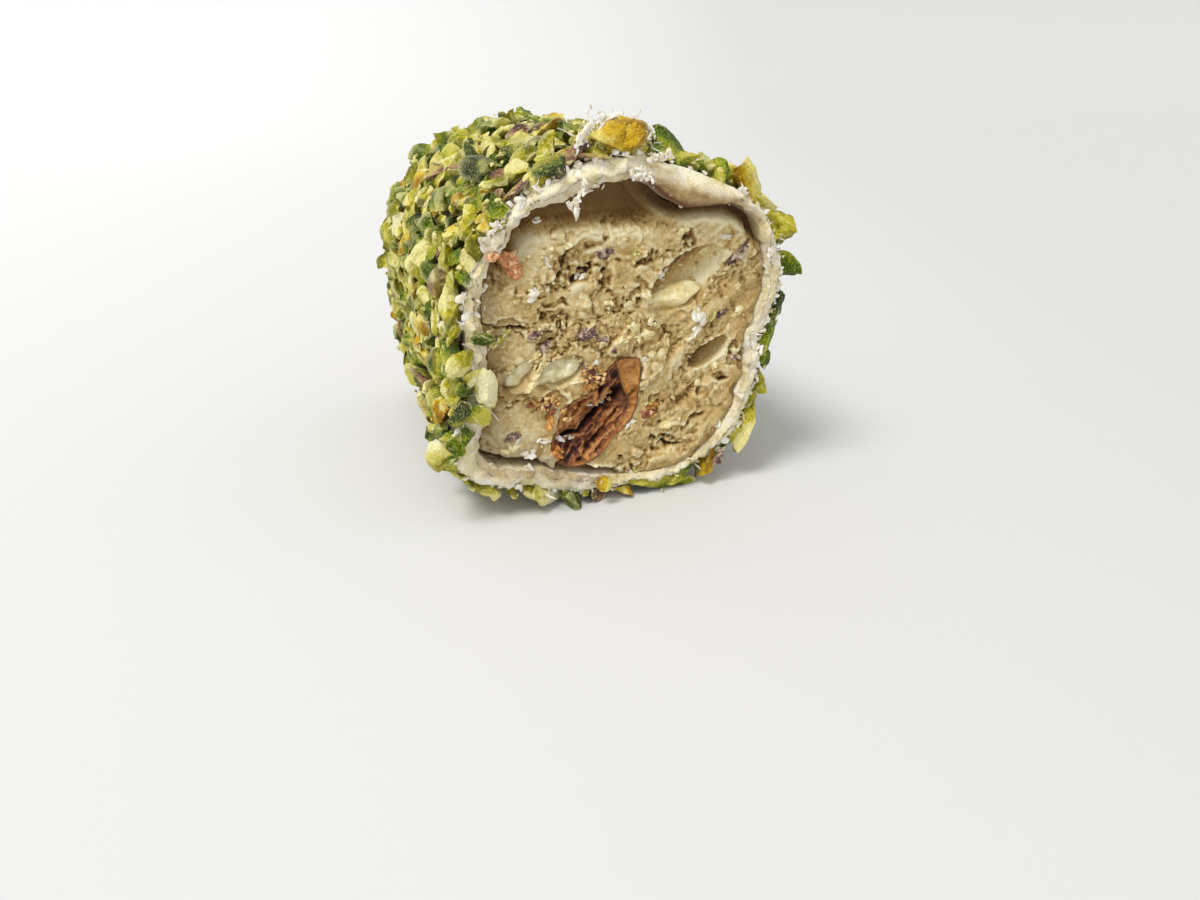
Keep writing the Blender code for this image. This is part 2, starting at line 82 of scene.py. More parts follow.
# Dents in the cut faces, each (x, z, length, width, tilt, depth) from the roll's axis
DENTS = {
    FRONT: (
        (8.3, 10.3, 2.6, 1.7, -50, 1.3), (-4.7, 9.8, 5.2, 1.7, 25, 1.2), (-5.4, 7.4, 5.6, 1.0, 14, 1.0),
        (-2.1, 6.5, 3.6, 1.2, 80, 1.1), (-7.4, 4.3, 3.6, 0.9, -8, 0.9), (-8.4, 2.9, 6.4, 1.8, -10, 0.9),
        (-13.0, 2.3, 6.4, 0.5, -5, 0.8), (-1.6, 12.0, 2.6, 1.0, 60, 0.9), (2.6, 5.6, 3.2, 1.2, -60, 0.8),
        (-12.8, -6.4, 3.4, 1.3, 20, 0.8), (12.8, -6.8, 2.0, 1.2, 20, 1.1), (10.8, -8.6, 2.2, 1.3, -20, 1.1),
        (14.0, -3.6, 2.4, 0.9, 70, 1.0), (6.0, -14.0, 4.6, 0.7, -12, 1.0), (6.6, -14.9, 3.2, 0.6, -8, 0.9),
        (9.6, -12.0, 2.6, 1.0, 30, 0.9), (3.0, 8.6, 2.8, 1.1, 10, 0.9),
    ),
    BACK: (
        (4.0, 10.5, 6.0, 1.7, 10, 1.2), (9.5, 2.0, 4.0, 1.8, 60, 1.2), (4.5, -13.5, 5.5, 1.2, 15, 1.0),
        (-3.0, 1.0, 4.6, 1.6, -40, 1.0), (-11.0, 1.0, 5.0, 0.8, 20, 0.9), (2.0, 5.5, 5.0, 0.9, -20, 0.9),
        (10.0, 9.0, 3.0, 1.4, -60, 1.0), (-7.0, -11.0, 4.0, 1.2, 0, 1.0),
    ),
}
# Deep smooth hollows, each an oval (x, z, length, width, tilt)
HOLLOWS = {FRONT: ((8.2, 6.3, 10.4, 4.8, 30), (11.5, -3.5, 5.8, 2.4, 35)),
           BACK: ((-9.0, 7.4, 9.0, 4.4, -25), (-10.5, -5.0, 5.0, 2.6, 30))}
HOLLOW_DEPTH = 2.1 * MM
LARGE_HOLLOW = 8
# Smeared, calmer parts of the front face, each an oval
SMEARED = ((-13.6, -0.6, 7.5, 4.2, 10), (-11.6, -10.2, 11.0, 8.5, 0), (-6.2, 5.0, 6.5, 2.6, 14),
           (-10.6, 8.8, 7.5, 4.5, 35), (-5.6, -3.2, 7.5, 4.5, 20), (0.0, 10.8, 16.0, 3.0, 0),
           (10.6, 11.8, 8.0, 3.4, -10), (-14.8, 5.0, 4.0, 3.0, 60), (10.5, 0.8, 8.0, 2.6, 38),
           (5.6, -5.6, 8.0, 2.6, 42), (4.0, 3.0, 4.0, 2.6, 20))
STREAK_TILT = 38
PITS = 420
CRUMBLE_SEED = {FRONT: 200, BACK: 300}
LOOSE_CRUMBS = 330
FACE_BIT_LUMPS = 6
LUMP_CUTS = 10

# The fig strip: its middle and tilt on each cut, and how far its outline reaches at every 15 degrees from
# its long axis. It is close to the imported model's, with a front corner that is a little longer
FIG_PLACE = {FRONT: (-3.3 * MM, -9.6 * MM, 49), BACK: (-1.5 * MM, -8.0 * MM, 28)}
FIG_REACH = {
    FRONT: (8.6, 7.3, 4.4, 3.0, 2.6, 3.0, 3.6, 4.1, 4.1, 4.3, 5.0, 6.6,
            7.2, 6.9, 6.2, 5.4, 4.5, 4.0, 3.9, 4.2, 4.8, 5.3, 5.8, 6.9),
    BACK: (7.1, 6.8, 5.9, 5.0, 4.4, 4.0, 3.8, 3.9, 4.3, 4.9, 5.8, 6.6,
           6.9, 6.8, 6.0, 5.1, 4.4, 4.1, 4.0, 4.1, 4.5, 5.1, 6.0, 6.9),
}
FIG_HOLLOW = 1.1 * MM
# The dark groove between the fig's lobes, as places along and across its long axis
FIG_GROOVE_ALONG = (-5.0 * MM, -2.8 * MM, 1.0 * MM, 3.6 * MM)
FIG_GROOVE_ACROSS = (2.0 * MM, -0.1 * MM, -0.3 * MM, -1.0 * MM)
FIG_GROOVE_WIDTH = 0.34 * MM
FIG_POCKET = 4.5 * MM
# The kernels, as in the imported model, each (name, end, how far it stands out, its oval, whether it is smooth)
KERNELS = (
    ("kernel_front_right", FRONT, 0.6, (7.0, 3.7, 7.2, 3.0, 15), True),
    ("kernel_front_left", FRONT, 0.5, (-7.4, -3.7, 6.4, 3.2, 18), False),
    ("kernel_front_edge", FRONT, 0.5, (-12.3, -3.4, 4.6, 2.2, 35), False),
    ("kernel_back_left", BACK, 0.7, (-8.0, 5.4, 7.0, 3.2, -20), True),
    ("kernel_back_right", BACK, 0.6, (9.0, -6.5, 6.0, 3.0, 40), False),
)
KERNEL_DEPTH = 4.4 * MM
KERNEL_CUTS = 7
KERNEL_ROUGHNESS = {True: 0.2 * MM, False: 0.34 * MM}

# Chopped pistachios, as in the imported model, then the smaller ones between them
PISTACHIO_PITCH = 5.4 * MM
PISTACHIO_ROWS = 9
PISTACHIO_LENGTH = (3.6 * MM, 5.2 * MM)
PISTACHIO_RISE = (0.0, 0.25)
PISTACHIO_SEED = 11
END_MARGIN = 1.3 * MM
# The largest pieces, each (angle, y from the front, length, width, turn, kind)
LARGE_PISTACHIOS = (
    (90, 1.2, 6.0, 2.8, 90, "gold"), (74, 1.5, 4.6, 3.0, 80, "green"), (106, 1.6, 4.4, 2.6, 60, "mauve"),
    (46, 1.5, 5.2, 3.0, 90, "gold"), (27, 1.8, 4.6, 3.6, 80, "pale"), (15, 1.6, 3.4, 2.8, 40, "green"),
    (4, 1.4, 4.8, 2.4, 90, "teal"), (-8, 1.4, 5.0, 2.4, 90, "green"), (-38, 1.6, 7.2, 3.4, 90, "pale"),
    (-57, 1.5, 4.4, 3.4, 30, "gold"), (-76, 1.2, 8.0, 2.6, 90, "green"), (-98, 1.2, 3.2, 2.4, 20, "mauve"),
    (-179, 1.2, 3.4, 2.8, 90, "green"), (166, 1.2, 3.8, 2.6, 90, "pale"), (125, 14.0, 5.6, 3.4, 20, "teal"),
    (123, 22.0, 5.8, 3.2, -30, "teal"), (162, 8.0, 6.0, 3.6, 10, "mauve"),
    (140, 25.0, 6.4, 2.4, 15, "mauve"),
)
TALL_PISTACHIO = 3.4 * MM
# More pieces on the front rim, given in the same way
RIM_PISTACHIOS = (
    (80, 0.9, 3.0, 2.0, 60, "green"), (69, 1.0, 3.8, 2.3, 90, "green"), (57, 1.2, 3.6, 2.4, 60, "green"),
    (101, 0.6, 4.4, 1.6, 75, "mauve"), (112, 1.0, 3.6, 2.2, 80, "teal"), (118, 1.2, 3.2, 2.4, 60, "pale"),
    (132, 1.2, 3.4, 2.6, 50, "green"), (139, 0.8, 2.2, 1.6, 80, "gold"), (147, 1.2, 3.6, 2.4, 40, "pale"),
    (155, 1.0, 3.0, 1.8, 20, "green"), (173, 1.0, 3.2, 2.2, 60, "pale"), (186, 0.9, 3.2, 2.2, 80, "green"),
    (193, 0.9, 3.4, 2.4, 70, "pale"), (201, 0.8, 3.0, 2.2, 50, "green"), (208, 1.2, 3.2, 2.4, 20, "green"),
    (-16, 1.0, 3.2, 2.0, 70, "green"), (-24, 1.0, 3.0, 2.2, 40, "pale"), (-66, 0.9, 3.4, 2.2, 80, "green"),
    (-88, 0.8, 2.6, 2.0, 70, "gold"), (-108, 0.9, 3.6, 2.4, 85, "green"), (-118, 0.9, 3.4, 2.2, 75, "pale"),
)
RIM_RISE = 0.2
# Pieces that lie flat against the front rim, each (x, z, length, width, tilt, kind); one on top is set back
FRONT_CHIPS = (
    (-18.7, -0.5, 3.5, 2.6, 20, "pale"), (-16.7, -4.1, 3.9, 2.6, 78, "ivory"),
    (-17.4, -2.6, 2.8, 1.6, 5, "ivory"), (-16.5, 2.0, 2.7, 1.6, -10, "green"),
    (-19.2, -3.9, 3.2, 2.3, 60, "green"), (-18.0, -6.6, 3.6, 2.3, 95, "green"),
    (-19.9, -6.9, 3.0, 2.0, 50, "teal"), (-19.2, -9.4, 3.0, 2.0, 70, "green"),
    (-20.7, -11.5, 3.4, 2.4, 70, "green"), (-2.5, -17.8, 2.0, 1.5, 80, "gold"),
    (0.3, 21.7, 5.0, 3.6, -4, "gold"),
)
FRONT_CHIP_FLAT = 0.6
TOP_CHIP_HEIGHT = 20
TOP_CHIP_BACK = 1.1 * MM
SITE_SHRINK = 0.86
# The smaller pieces, each round (shortest, longest, tries)
FILLER_LENGTHS = ((2.9, 3.9, 3500), (2.2, 3.0, 5000), (1.6, 2.2, 3500))
FILLER_CLOSENESS = 0.43
FILLER_RISE = 0.27
FILLER_SEED = 5
# Each kind's share of the coat and its colours from skin to heart, each (place, red, green, blue)
KINDS = {
    "green": (0.38, ((0.1, 56, 84, 4), (0.35, 90, 120, 6), (0.6, 146, 158, 18), (0.9, 208, 200, 76))),
    "pale": (0.36, ((0.1, 122, 124, 2), (0.4, 180, 172, 22), (0.65, 216, 202, 62), (0.85, 250, 240, 164))),
    "ivory": (0.05, ((0.1, 176, 166, 30), (0.35, 220, 208, 84), (0.6, 244, 234, 148), (0.85, 253, 249, 204))),
    "gold": (0.08, ((0.1, 168, 122, 2), (0.45, 216, 172, 10), (0.7, 230, 198, 44), (0.9, 246, 228, 120))),
    "teal": (0.05, ((0.1, 32, 48, 26), (0.45, 58, 82, 38), (0.65, 104, 118, 40), (0.9, 166, 160, 62))),
    "mauve": (0.08, ((0.1, 68, 42, 48), (0.4, 130, 74, 76), (0.6, 172, 128, 104), (0.9, 206, 184, 96))),
}
# Pieces near the front are finer meshes, if they aren't small
NEAR_DEPTH = 7 * MM
NEAR_LENGTH = 3 * MM
# Thickness to width
NUT_FLATNESS = 0.82
SKIN_FLATNESS = 0.5
COAT_SCALE = 1.08
COAT_CRUMBS = 420
FLOUR_LUMPS = 620
FIBRES = 230

# Small pieces that show on the front face and its rim, each an oval
FACE_BITS = {
    "mauve": (
        (-10.3, 1.1, 2.2, 1.2, 10), (-9.1, -0.4, 1.6, 1.4, 30), (-4.5, 0.8, 3.0, 1.6, 20),
        (-2.8, 0.1, 2.6, 1.6, -20), (15.0, 8.5, 3.4, 1.3, 40), (13.8, 7.5, 2.0, 0.9, 40),
        (-13.6, -10.7, 2.3, 1.5, -10), (13.0, 1.2, 1.8, 1.2, 30), (-2.2, 9.6, 2.0, 1.4, -10),
        (14.8, -4.5, 1.2, 1.0, 0), (13.3, -17.3, 3.0, 1.2, 75), (-1.1, -1.9, 1.2, 0.8, 30),
        (-4.7, -3.6, 1.5, 1.0, 10),
    ),
    "white": (
        (9.9, 1.2, 2.3, 1.7, -30), (9.4, -0.7, 2.5, 0.9, 35), (12.8, 10.2, 1.5, 0.7, 0),
        (5.5, 6.5, 1.5, 0.9, 15), (18.6, 8.5, 2.0, 1.0, 60), (-8.7, 9.0, 1.7, 0.7, -60),
        (-10.4, 5.8, 1.8, 1.5, 30), (-4.8, 7.0, 1.2, 0.9, 0), (-15.7, 6.9, 1.4, 1.0, 20),
        (-9.3, 13.3, 1.2, 0.6, 0), (1.3, -11.3, 1.6, 0.6, 30), (-12.8, -11.4, 1.5, 0.5, 50),
        (-11.7, -13.4, 2.0, 1.3, 0), (13.2, -13.3, 1.4, 1.1, 70), (-18.0, -1.3, 2.4, 0.9, -20),
        (2.9, -3.4, 0.9, 0.5, 40), (-3.0, -3.0, 1.4, 0.8, 20), (-9.5, -11.9, 2.3, 0.8, 2),
        (-7.6, -12.2, 2.0, 0.7, -28), (-6.2, -12.4, 1.9, 0.6, 14), (-3.2, -8.7, 1.5, 0.35, -8),
        (-1.9, -8.9, 1.8, 0.3, 0),
    ),
    "cream": (
        (5.5, -2.6, 3.4, 1.3, 80), (3.6, -2.9, 1.5, 1.0, 0), (2.9, -0.4, 2.6, 1.7, 10),
        (1.5, 0.7, 1.8, 1.2, 0), (3.6, 1.2, 1.4, 1.0, 20), (4.6, 0.7, 1.3, 0.9, -30),
        (0.4, -0.6, 1.5, 1.0, 20), (-1.5, 4.0, 1.3, 0.9, 0), (1.0, 3.4, 1.2, 0.8, 30),
        (10.6, 8.6, 1.6, 1.0, 20), (7.4, 11.5, 1.8, 1.0, 30), (-12.2, -3.5, 3.6, 1.0, 38),
        (-10.9, -4.3, 2.4, 1.2, 45), (10.5, -7.4, 1.4, 0.9, 30), (6.4, -12.2, 3.0, 0.9, 8),
        (-13.5, -12.4, 2.2, 1.0, 0), (15.5, 1.5, 1.6, 1.0, 50), (12.0, -5.2, 1.6, 1.0, 60),
        (-6.2, 10.6, 1.4, 0.9, 0), (-9.6, -2.5, 2.4, 0.7, 38), (-5.4, -4.9, 1.8, 0.8, 10),
        (-9.0, -5.1, 2.0, 0.8, 0), (-4.9, -2.9, 1.5, 0.8, 60), (-10.4, -1.6, 2.2, 0.7, 38),
    ),
    "green": (
        (11.5, 1.1, 1.7, 0.9, 90), (1.7, 9.3, 0.9, 0.7, 0), (-14.6, 0.7, 1.8, 0.9, 40),
        (-13.8, 1.4, 2.2, 0.6, 50), (13.9, -13.0, 0.9, 0.7, 0), (-13.3, 13.6, 1.7, 0.8, 40),
        (-16.4, -6.6, 1.6, 1.4, 0), (1.9, -18.2, 1.6, 1.2, 0), (4.3, -9.3, 1.2, 0.7, 0),
    ),
    "orange": (
        (-8.9, -9.5, 2.9, 1.3, 82), (-8.1, -13.8, 2.3, 2.0, 40), (-3.9, -6.0, 2.0, 1.1, 5),
        (4.2, -9.7, 2.2, 1.0, 10),
    ),
    "salmon": ((-13.0, 9.3, 3.2, 2.4, 20), (-12.6, 8.5, 2.4, 1.8, -30), (-14.4, 10.2, 2.2, 1.5, 0)),
    "fig": (
        (3.9, -10.3, 2.6, 1.8, 20), (-9.6, -7.2, 3.4, 1.4, 10), (-8.7, -7.9, 2.0, 1.4, -20),
        (-3.6, -4.6, 2.2, 1.4, 60), (-2.2, -4.9, 1.8, 1.2, 30),
    ),
}
# Clusters of fig seeds, each (x, z, half width, half height, count)
SEED_CLUSTERS = ((-9.6, -7.1, 2.0, 0.9, 34), (-3.6, -4.8, 1.5, 1.5, 24), (-1.0, -8.1, 0.9, 0.5, 12),
                 (-6.3, -8.6, 1.2, 1.2, 8), (4.0, -10.4, 0.9, 0.7, 6))
# The wrapper's large shreds at the top of the cut, each (path, widths)
TOP_SHREDS = (
    (((-5.4, -22.9, 20.7), (-4.7, -23.0, 22.0), (-3.6, -22.8, 23.2), (-2.2, -22.6, 24.0)),
     (0.9, 1.1, 0.6, 0.1)),
    (((-4.4, -22.7, 21.6), (-3.9, -22.5, 23.2), (-3.6, -22.3, 24.6)), (0.5, 0.3, 0.06)),
    (((-2.9, -22.6, 22.2), (-1.6, -22.4, 23.4), (-0.6, -22.4, 23.9), (0.2, -22.3, 23.3)),
     (0.5, 0.7, 0.6, 0.2)),
    (((0.0, -22.4, 23.4), (1.6, -22.4, 23.3), (2.2, -22.2, 24.5)), (0.5, 0.4, 0.06)),
    (((0.8, -22.0, 22.9), (2.2, -21.9, 22.9), (3.2, -21.8, 22.2), (3.8, -21.8, 21.2)), (0.8, 1.3, 1.2, 0.4)),
    (((-4.8, -24.0, 17.9), (-5.1, -24.4, 16.6), (-5.9, -24.7, 15.6), (-6.0, -24.7, 14.8),
      (-6.0, -24.6, 13.6)), (0.7, 0.5, 0.9, 1.1, 0.1)),
    (((-5.6, -24.5, 15.7), (-6.5, -24.6, 15.5), (-6.9, -24.6, 15.3)), (0.6, 0.4, 0.06)),
    (((0.3, -24.2, 18.2), (0.9, -24.6, 17.9), (1.5, -24.8, 17.6)), (0.8, 0.6, 0.1)),
    (((0.9, -24.2, 18.6), (1.9, -24.7, 18.2), (2.3, -24.8, 17.5)), (0.7, 0.5, 0.1)),
    (((2.2, -24.4, 19.4), (4.0, -24.7, 19.9), (5.2, -24.6, 19.6)), (0.7, 0.8, 0.2)),
    (((-15.4, -23.6, 12.6), (-14.6, -24.2, 13.4), (-14.0, -24.4, 14.2)), (0.6, 0.5, 0.1)),
)
SHRED_TUFTS = 16
TOP_FIBRES = 90

# Camera, fitted to the photo: a phone camera close by, a little above the roll and to its left
CAMERA_PITCH = radians(25)
CAMERA_YAW = radians(20.66)
CAMERA_LENS = 27.09
CAMERA_SENSOR = 36
FACE_FROM_CAMERA = (2.695 * MM, 13.019 * MM, 103.55 * MM)

FLOOR_HALF = 1.4
WORLD_STRENGTH = 0.73
# Where the sunlike key comes from, its strength and how wide it looks in degrees
KEY_FROM = (-0.20, -0.09, 0.36)
KEY_STRENGTH = 2.15
KEY_WIDTH = 22

FACING = {end: Matrix.Rotation(-end * pi / 2, 3, "X") for end in (FRONT, BACK)}


def smooth_step(value):
    value = np.clip(value, 0.0, 1.0)
    return value * value * (3 - 2 * value)


def step_up(value, start, width):
    """A smooth step from 0 to 1 as a length in metres passes a start over a width, both in millimetres."""
    return smooth_step((value - start * MM) / (width * MM))


def tilted(x, z, middle_x, middle_z, tilt):
    """Places along and across an axis that goes through a middle at a tilt."""
    dx, dz, turn = x - middle_x, z - middle_z, radians(tilt)
    return dx * cos(turn) + dz * sin(turn), dz * cos(turn) - dx * sin(turn)


def in_oval(x, z, oval):
    """Places along and across an oval, in its own half sizes."""
    middle_x, middle_z, length, width, tilt = oval
    along, across = tilted(x, z, middle_x * MM, middle_z * MM, tilt)
    return 2 * along / (length * MM), 2 * across / (width * MM)


def beyond_oval(x, z, oval):
    """The share of the way out to an oval's edge."""
    return np.hypot(*in_oval(x, z, oval))


def around(radius, angle, y):
    """Points round the roll's axis, for arrays."""
    turn = np.radians(angle)
    return np.stack([radius * np.cos(turn), y, radius * np.sin(turn)], axis=-1)


def outwards(angle):
    """The way out from the roll's axis at one angle."""
    return np.array([cos(radians(angle)), 0.0, sin(radians(angle))])


# Noise, worked out for whole arrays of points at once

def lattice(spot, seed):
    """A repeatable number from -1 to 1 at each whole point."""
    mixed = spot[..., 0] * 374761393 + spot[..., 1] * 668265263 + spot[..., 2] * 1440662683 + seed * 974634777
    mixed = mixed & 0xFFFFFFFF
    mixed = ((mixed ^ (mixed >> 13)) * 1274126177) & 0xFFFFFFFF
    return (mixed ^ (mixed >> 16)) / 2147483647.5 - 1


def smooth_noise(points, size, seed=0):
    """Smooth noise from about -1 to 1, with lumps of a size."""
    scaled = np.asarray(points) / size
    whole = np.floor(scaled).astype(np.int64)
    part = scaled - whole
    part = part * part * (3 - 2 * part)
    total = np.zeros(scaled.shape[:-1])
    for corner in product((0, 1), repeat=3):
        weight = np.abs(1 - np.array(corner) - part)
        total += weight[..., 0] * weight[..., 1] * weight[..., 2] * lattice(whole + corner, seed)
    return total


def layered_noise(points, size, layers, seed=0):
    """Smooth noise with finer layers added, each half as large and half as strong."""
    return sum(smooth_noise(points, size / 2 ** layer, seed + 31 * layer) / 2 ** layer
               for layer in range(layers))


def cells(points, size, seed=0):
    """The distance to the nearest of scattered points, in cell sizes, and that point's own number."""
    scaled = np.asarray(points) / size
    whole = np.floor(scaled).astype(np.int64)
    nearest = np.full(scaled.shape[:-1], 9.0)
    number = np.zeros(scaled.shape[:-1])
    for step in product((-1, 0, 1), repeat=3):
        corner = whole + step
        spot = corner + 0.5 + 0.45 * np.stack([lattice(corner, seed + 7 * a) for a in range(3)], axis=-1)
        away = np.sqrt(((scaled - spot) ** 2).sum(axis=-1))
        number = np.where(away < nearest, lattice(corner, seed + 99), number)
        nearest = np.minimum(away, nearest)
    return nearest, number


def vector_noise(points, size, seed=0):
    """Three layers of noise side by side, to push points about."""
    return np.stack([smooth_noise(points, size, seed + 11 * a) for a in range(3)], axis=-1)


# The roll's section

def turn_away(angle, middle):
    return (angle - middle + 180) % 360 - 180


def bell(angle, middle, spread):
    return np.exp(-0.5 * (turn_away(angle, middle) / spread) ** 2)


def lobe_sum(lobes, angle, y):
    """Lobes round the section, which fade towards the back."""
    fade = 1 + (LOBE_LEFT_AT_BACK - 1) * smooth_step(y / LENGTH + 0.5)
    return fade * sum(height * MM * bell(angle, middle, spread) for middle, height, spread in lobes)


def outer_radius(angle, y):
    along = y / LENGTH + 0.5
    wave = 0.35 * MM * np.sin(np.radians(2 * angle) + 5 * along)
    return WRAPPER_RADIUS + lobe_sum(OUTER_LOBES, angle, y) + along * wave


def inner_radius(angle, y):
    return outer_radius(angle, y) - WRAPPER_THICKNESS - lobe_sum(THICKNESS_LOBES, angle, y)


def flap(angle):
    """How much of the overlap's lip stands at an angle, from 0 to 1."""
    return bell(angle, FLAP_ANGLE, FLAP_SPREAD)


def rim_end(angle, end):
    """Where the wrapper ends, ragged at the front and at the back."""
    ring = around(20 * MM, angle, 0 * angle + end * 30 * MM)[..., [0, 2, 1]]
    rag = 0.35 * MM * smooth_noise(ring, 6 * MM, 3) + 0.34 * MM * layered_noise(ring, 1.6 * MM, 3, 5)
    smooth = flap(angle) * (end == FRONT)
    return end * (LENGTH / 2 - RIM_ROUNDING + rag * (1 - 0.7 * smooth) + FLAP_REACH * smooth)


def rim_y(angle, end):
    return float(rim_end(np.array([float(angle)]), end)[0])


# Meshes from arrays

def add_object(name, points, faces, material, attributes=None):
    """A mesh object from an array of points and arrays of quads or triangles, moved to the roll's place."""
    mesh = bpy.data.meshes.new(name)
    points = np.asarray(points, float).reshape(-1, 3) + np.array(MIDDLE)
    mesh.vertices.add(len(points))
    mesh.vertices.foreach_set("co", points.astype(np.float32).ravel())
    loops = np.concatenate([f.ravel() for f in faces])
    totals = np.concatenate([np.full(len(f), f.shape[1]) for f in faces])
    starts = np.concatenate([[0], np.cumsum(totals)[:-1]])
    mesh.loops.add(len(loops))
    mesh.loops.foreach_set("vertex_index", loops.astype(np.int32))
    mesh.polygons.add(len(totals))
    mesh.polygons.foreach_set("loop_start", starts.astype(np.int32))
    for attribute, values in (attributes or {}).items():
        layer = mesh.attributes.new(attribute, "FLOAT", "POINT")
        layer.data.foreach_set("value", np.asarray(values, np.float32).ravel())
    mesh.update(calc_edges=True)
    mesh.validate()
    mesh.shade_smooth()
    return show(name, mesh, material)


def show(name, data, material=None):
    """An object in the scene."""
    if material:
        data.materials.append(material)
    made = bpy.data.objects.new(name, data)
    bpy.context.scene.collection.objects.link(made)
    return made


def keep(made, slot, *nodes):
    """The piece rides with the roll and stands for CAD nodes, which it hides. Its slot is not used."""
    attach(made, "root")
    if nodes:
        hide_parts(*nodes)


def turn_outwards(made):
    """Makes every face of a closed mesh point out."""
    shape = bmesh.new()
    shape.from_mesh(made.data)
    bmesh.ops.recalc_face_normals(shape, faces=shape.faces)
    shape.to_mesh(made.data)
    shape.free()


def sheet_quads(index):
    """Quads of a square lattice of points."""
    return np.stack([index[:-1, :-1], index[1:, :-1], index[1:, 1:], index[:-1, 1:]], axis=-1).reshape(-1, 4)


def ring_quads(rings):
    """Quads that join closed rings one after the other."""
    return [np.stack([a, np.roll(a, -1), np.roll(b, -1), b], axis=-1) for a, b in zip(rings, rings[1:])]


def square_to_disc(count):
    """A square lattice of points spread evenly over a disc, as (share of the radius, angle in degrees)."""
    side = np.linspace(-1, 1, count)
    a, b = np.meshgrid(side, side, indexing="ij")
    flat = np.abs(a) > np.abs(b)
    share = np.where(flat, np.abs(a), np.abs(b))
    safe = np.where(share == 0, 1.0, share)
    turn = np.where(flat, np.sign(a) * b / safe * 45, np.sign(b) * (90 - a / safe * 45))
    return share, np.where(flat & (a < 0), turn + 180, turn)


def border_ring(count):
    """The border of a square lattice in order, as indices."""
    index = np.arange(count * count).reshape(count, count)
    return np.concatenate([index[:, 0], index[-1, 1:], index[-2::-1, -1], index[0, -2:0:-1]])


# Materials

def srgb(red, green, blue):
    """A screen colour in linear light."""
    shares = [screen / 255 for screen in (red, green, blue)]
    return (*[s / 12.92 if s <= 0.04045 else ((s + 0.055) / 1.055) ** 2.4 for s in shares], 1.0)


class Shader:
    """A Principled material being wired up."""

    def __init__(self, name, roughness, subsurface=0.0, radius=(1.0, 0.5, 0.25), scale=0.4 * MM, sheen=0.0,
                 specular=0.5):
        self.material = bpy.data.materials.new(name)
        self.material.use_nodes = True
        self.tree = self.material.node_tree
        self.shader = self.tree.nodes["Principled BSDF"]
        self.feed(self.shader, {
            "Roughness": roughness, "Subsurface Weight": subsurface, "Subsurface Radius": radius,
            "Subsurface Scale": scale, "Sheen Weight": sheen, "Specular IOR Level": specular})
        self.place = self.node("ShaderNodeTexCoord").outputs["Object"]

    def feed(self, node, inputs):
        """Sets a node's sockets to values, or links them to other nodes' outputs."""
        for socket, value in inputs.items():
            if isinstance(value, bpy.types.NodeSocket):
                self.tree.links.new(value, node.inputs[socket])
            else:
                node.inputs[socket].default_value = value

    def node(self, kind, inputs=None, **settings):
        made = self.tree.nodes.new(kind)
        for name, value in settings.items():
            setattr(made, name, value)
        self.feed(made, inputs or {})
        return made

    def attribute(self, name):
        return self.node("ShaderNodeAttribute", attribute_name=name).outputs["Fac"]

    def noise(self, size, detail=3.0, roughness=0.55, distortion=0.0):
        """Noise from 0 to 1 with lumps of a size in metres."""
        return self.node("ShaderNodeTexNoise", {
            "Scale": 1 / size, "Detail": detail, "Roughness": roughness, "Distortion": distortion,
            "Vector": self.place}).outputs["Fac"]

    def math(self, operation, first, second):
        return self.node("ShaderNodeMath", {0: first, 1: second}, operation=operation).outputs["Value"]

    def add(self, first, second, share):
        """The first value with a share of the second added."""
        return self.math("ADD", first, self.math("MULTIPLY", second, share))

    def stir(self, value, noise, strength):
        """A value made to vary by noise that runs from 0 to 1."""
        return self.add(value, self.math("SUBTRACT", noise, 0.5), strength)

    def ramp(self, factor, *stops):
        """A colour ramp, each stop (place, red, green, blue), or (place, share) in a mask."""
        made = self.node("ShaderNodeValToRGB", {"Fac": factor})
        elements = made.color_ramp.elements
        while len(elements) < len(stops):
            elements.new(0.5)
        for element, (place, *colour) in zip(elements, stops):
            element.position = place
            element.color = srgb(*colour) if len(colour) == 3 else (*colour * 3, 1)
        return made.outputs["Color"]

    def mix(self, factor, first, second):
        """A mix of two colours, the second an output or a screen colour."""
        second = srgb(*second) if isinstance(second, tuple) else second
        return self.node("ShaderNodeMix", {0: factor, 6: first, 7: second}, data_type="RGBA").outputs[2]

    def finish(self, colour, height=None, depth=0.0, strength=1.0):
        """Wires up the colour and the bump, and gives the material."""
        self.feed(self.shader, {"Base Color": colour})
        if height:
            bump = self.node("ShaderNodeBump", {"Distance": depth, "Strength": strength, "Height": height})
            self.feed(self.shader, {"Normal": bump.outputs["Normal"]})
        return self.material


def pistachio_material(name, stops):
    """Chopped pistachio: its colour runs from skin to heart across each piece, with a fibrous grain, paler
    sharp edges and painted shade in its creases.
    """
    made = Shader(name, 0.46, subsurface=0.08, radius=(1.0, 0.9, 0.2), specular=0.2)
    grain = made.noise(0.7 * MM, 5.0, 0.65, 0.8)
    fine = made.noise(0.2 * MM, 3.0, 0.6)
    edge = made.node("ShaderNodeNewGeometry").outputs["Pointiness"]
    body = made.ramp(made.stir(made.attribute("heart"), grain, 1.7), *stops)
    body = made.mix(made.ramp(fine, (0.52, 0), (0.7, 0.6)), body, (230, 214, 122))
    body = made.mix(made.ramp(fine, (0.28, 0.6), (0.43, 0)), body, (64, 60, 0))
    # Paler along sharp outward edges; darker in inward creases, which is painted shade.
    body = made.mix(made.ramp(edge, (0.52, 0), (0.62, 0.8)), body, (248, 242, 168))
    body = made.mix(made.ramp(edge, (0.4, 0.8), (0.49, 0)), body, (54, 50, 0))
    return made.finish(body, made.add(grain, fine, 0.6), 0.5 * MM, 0.9)


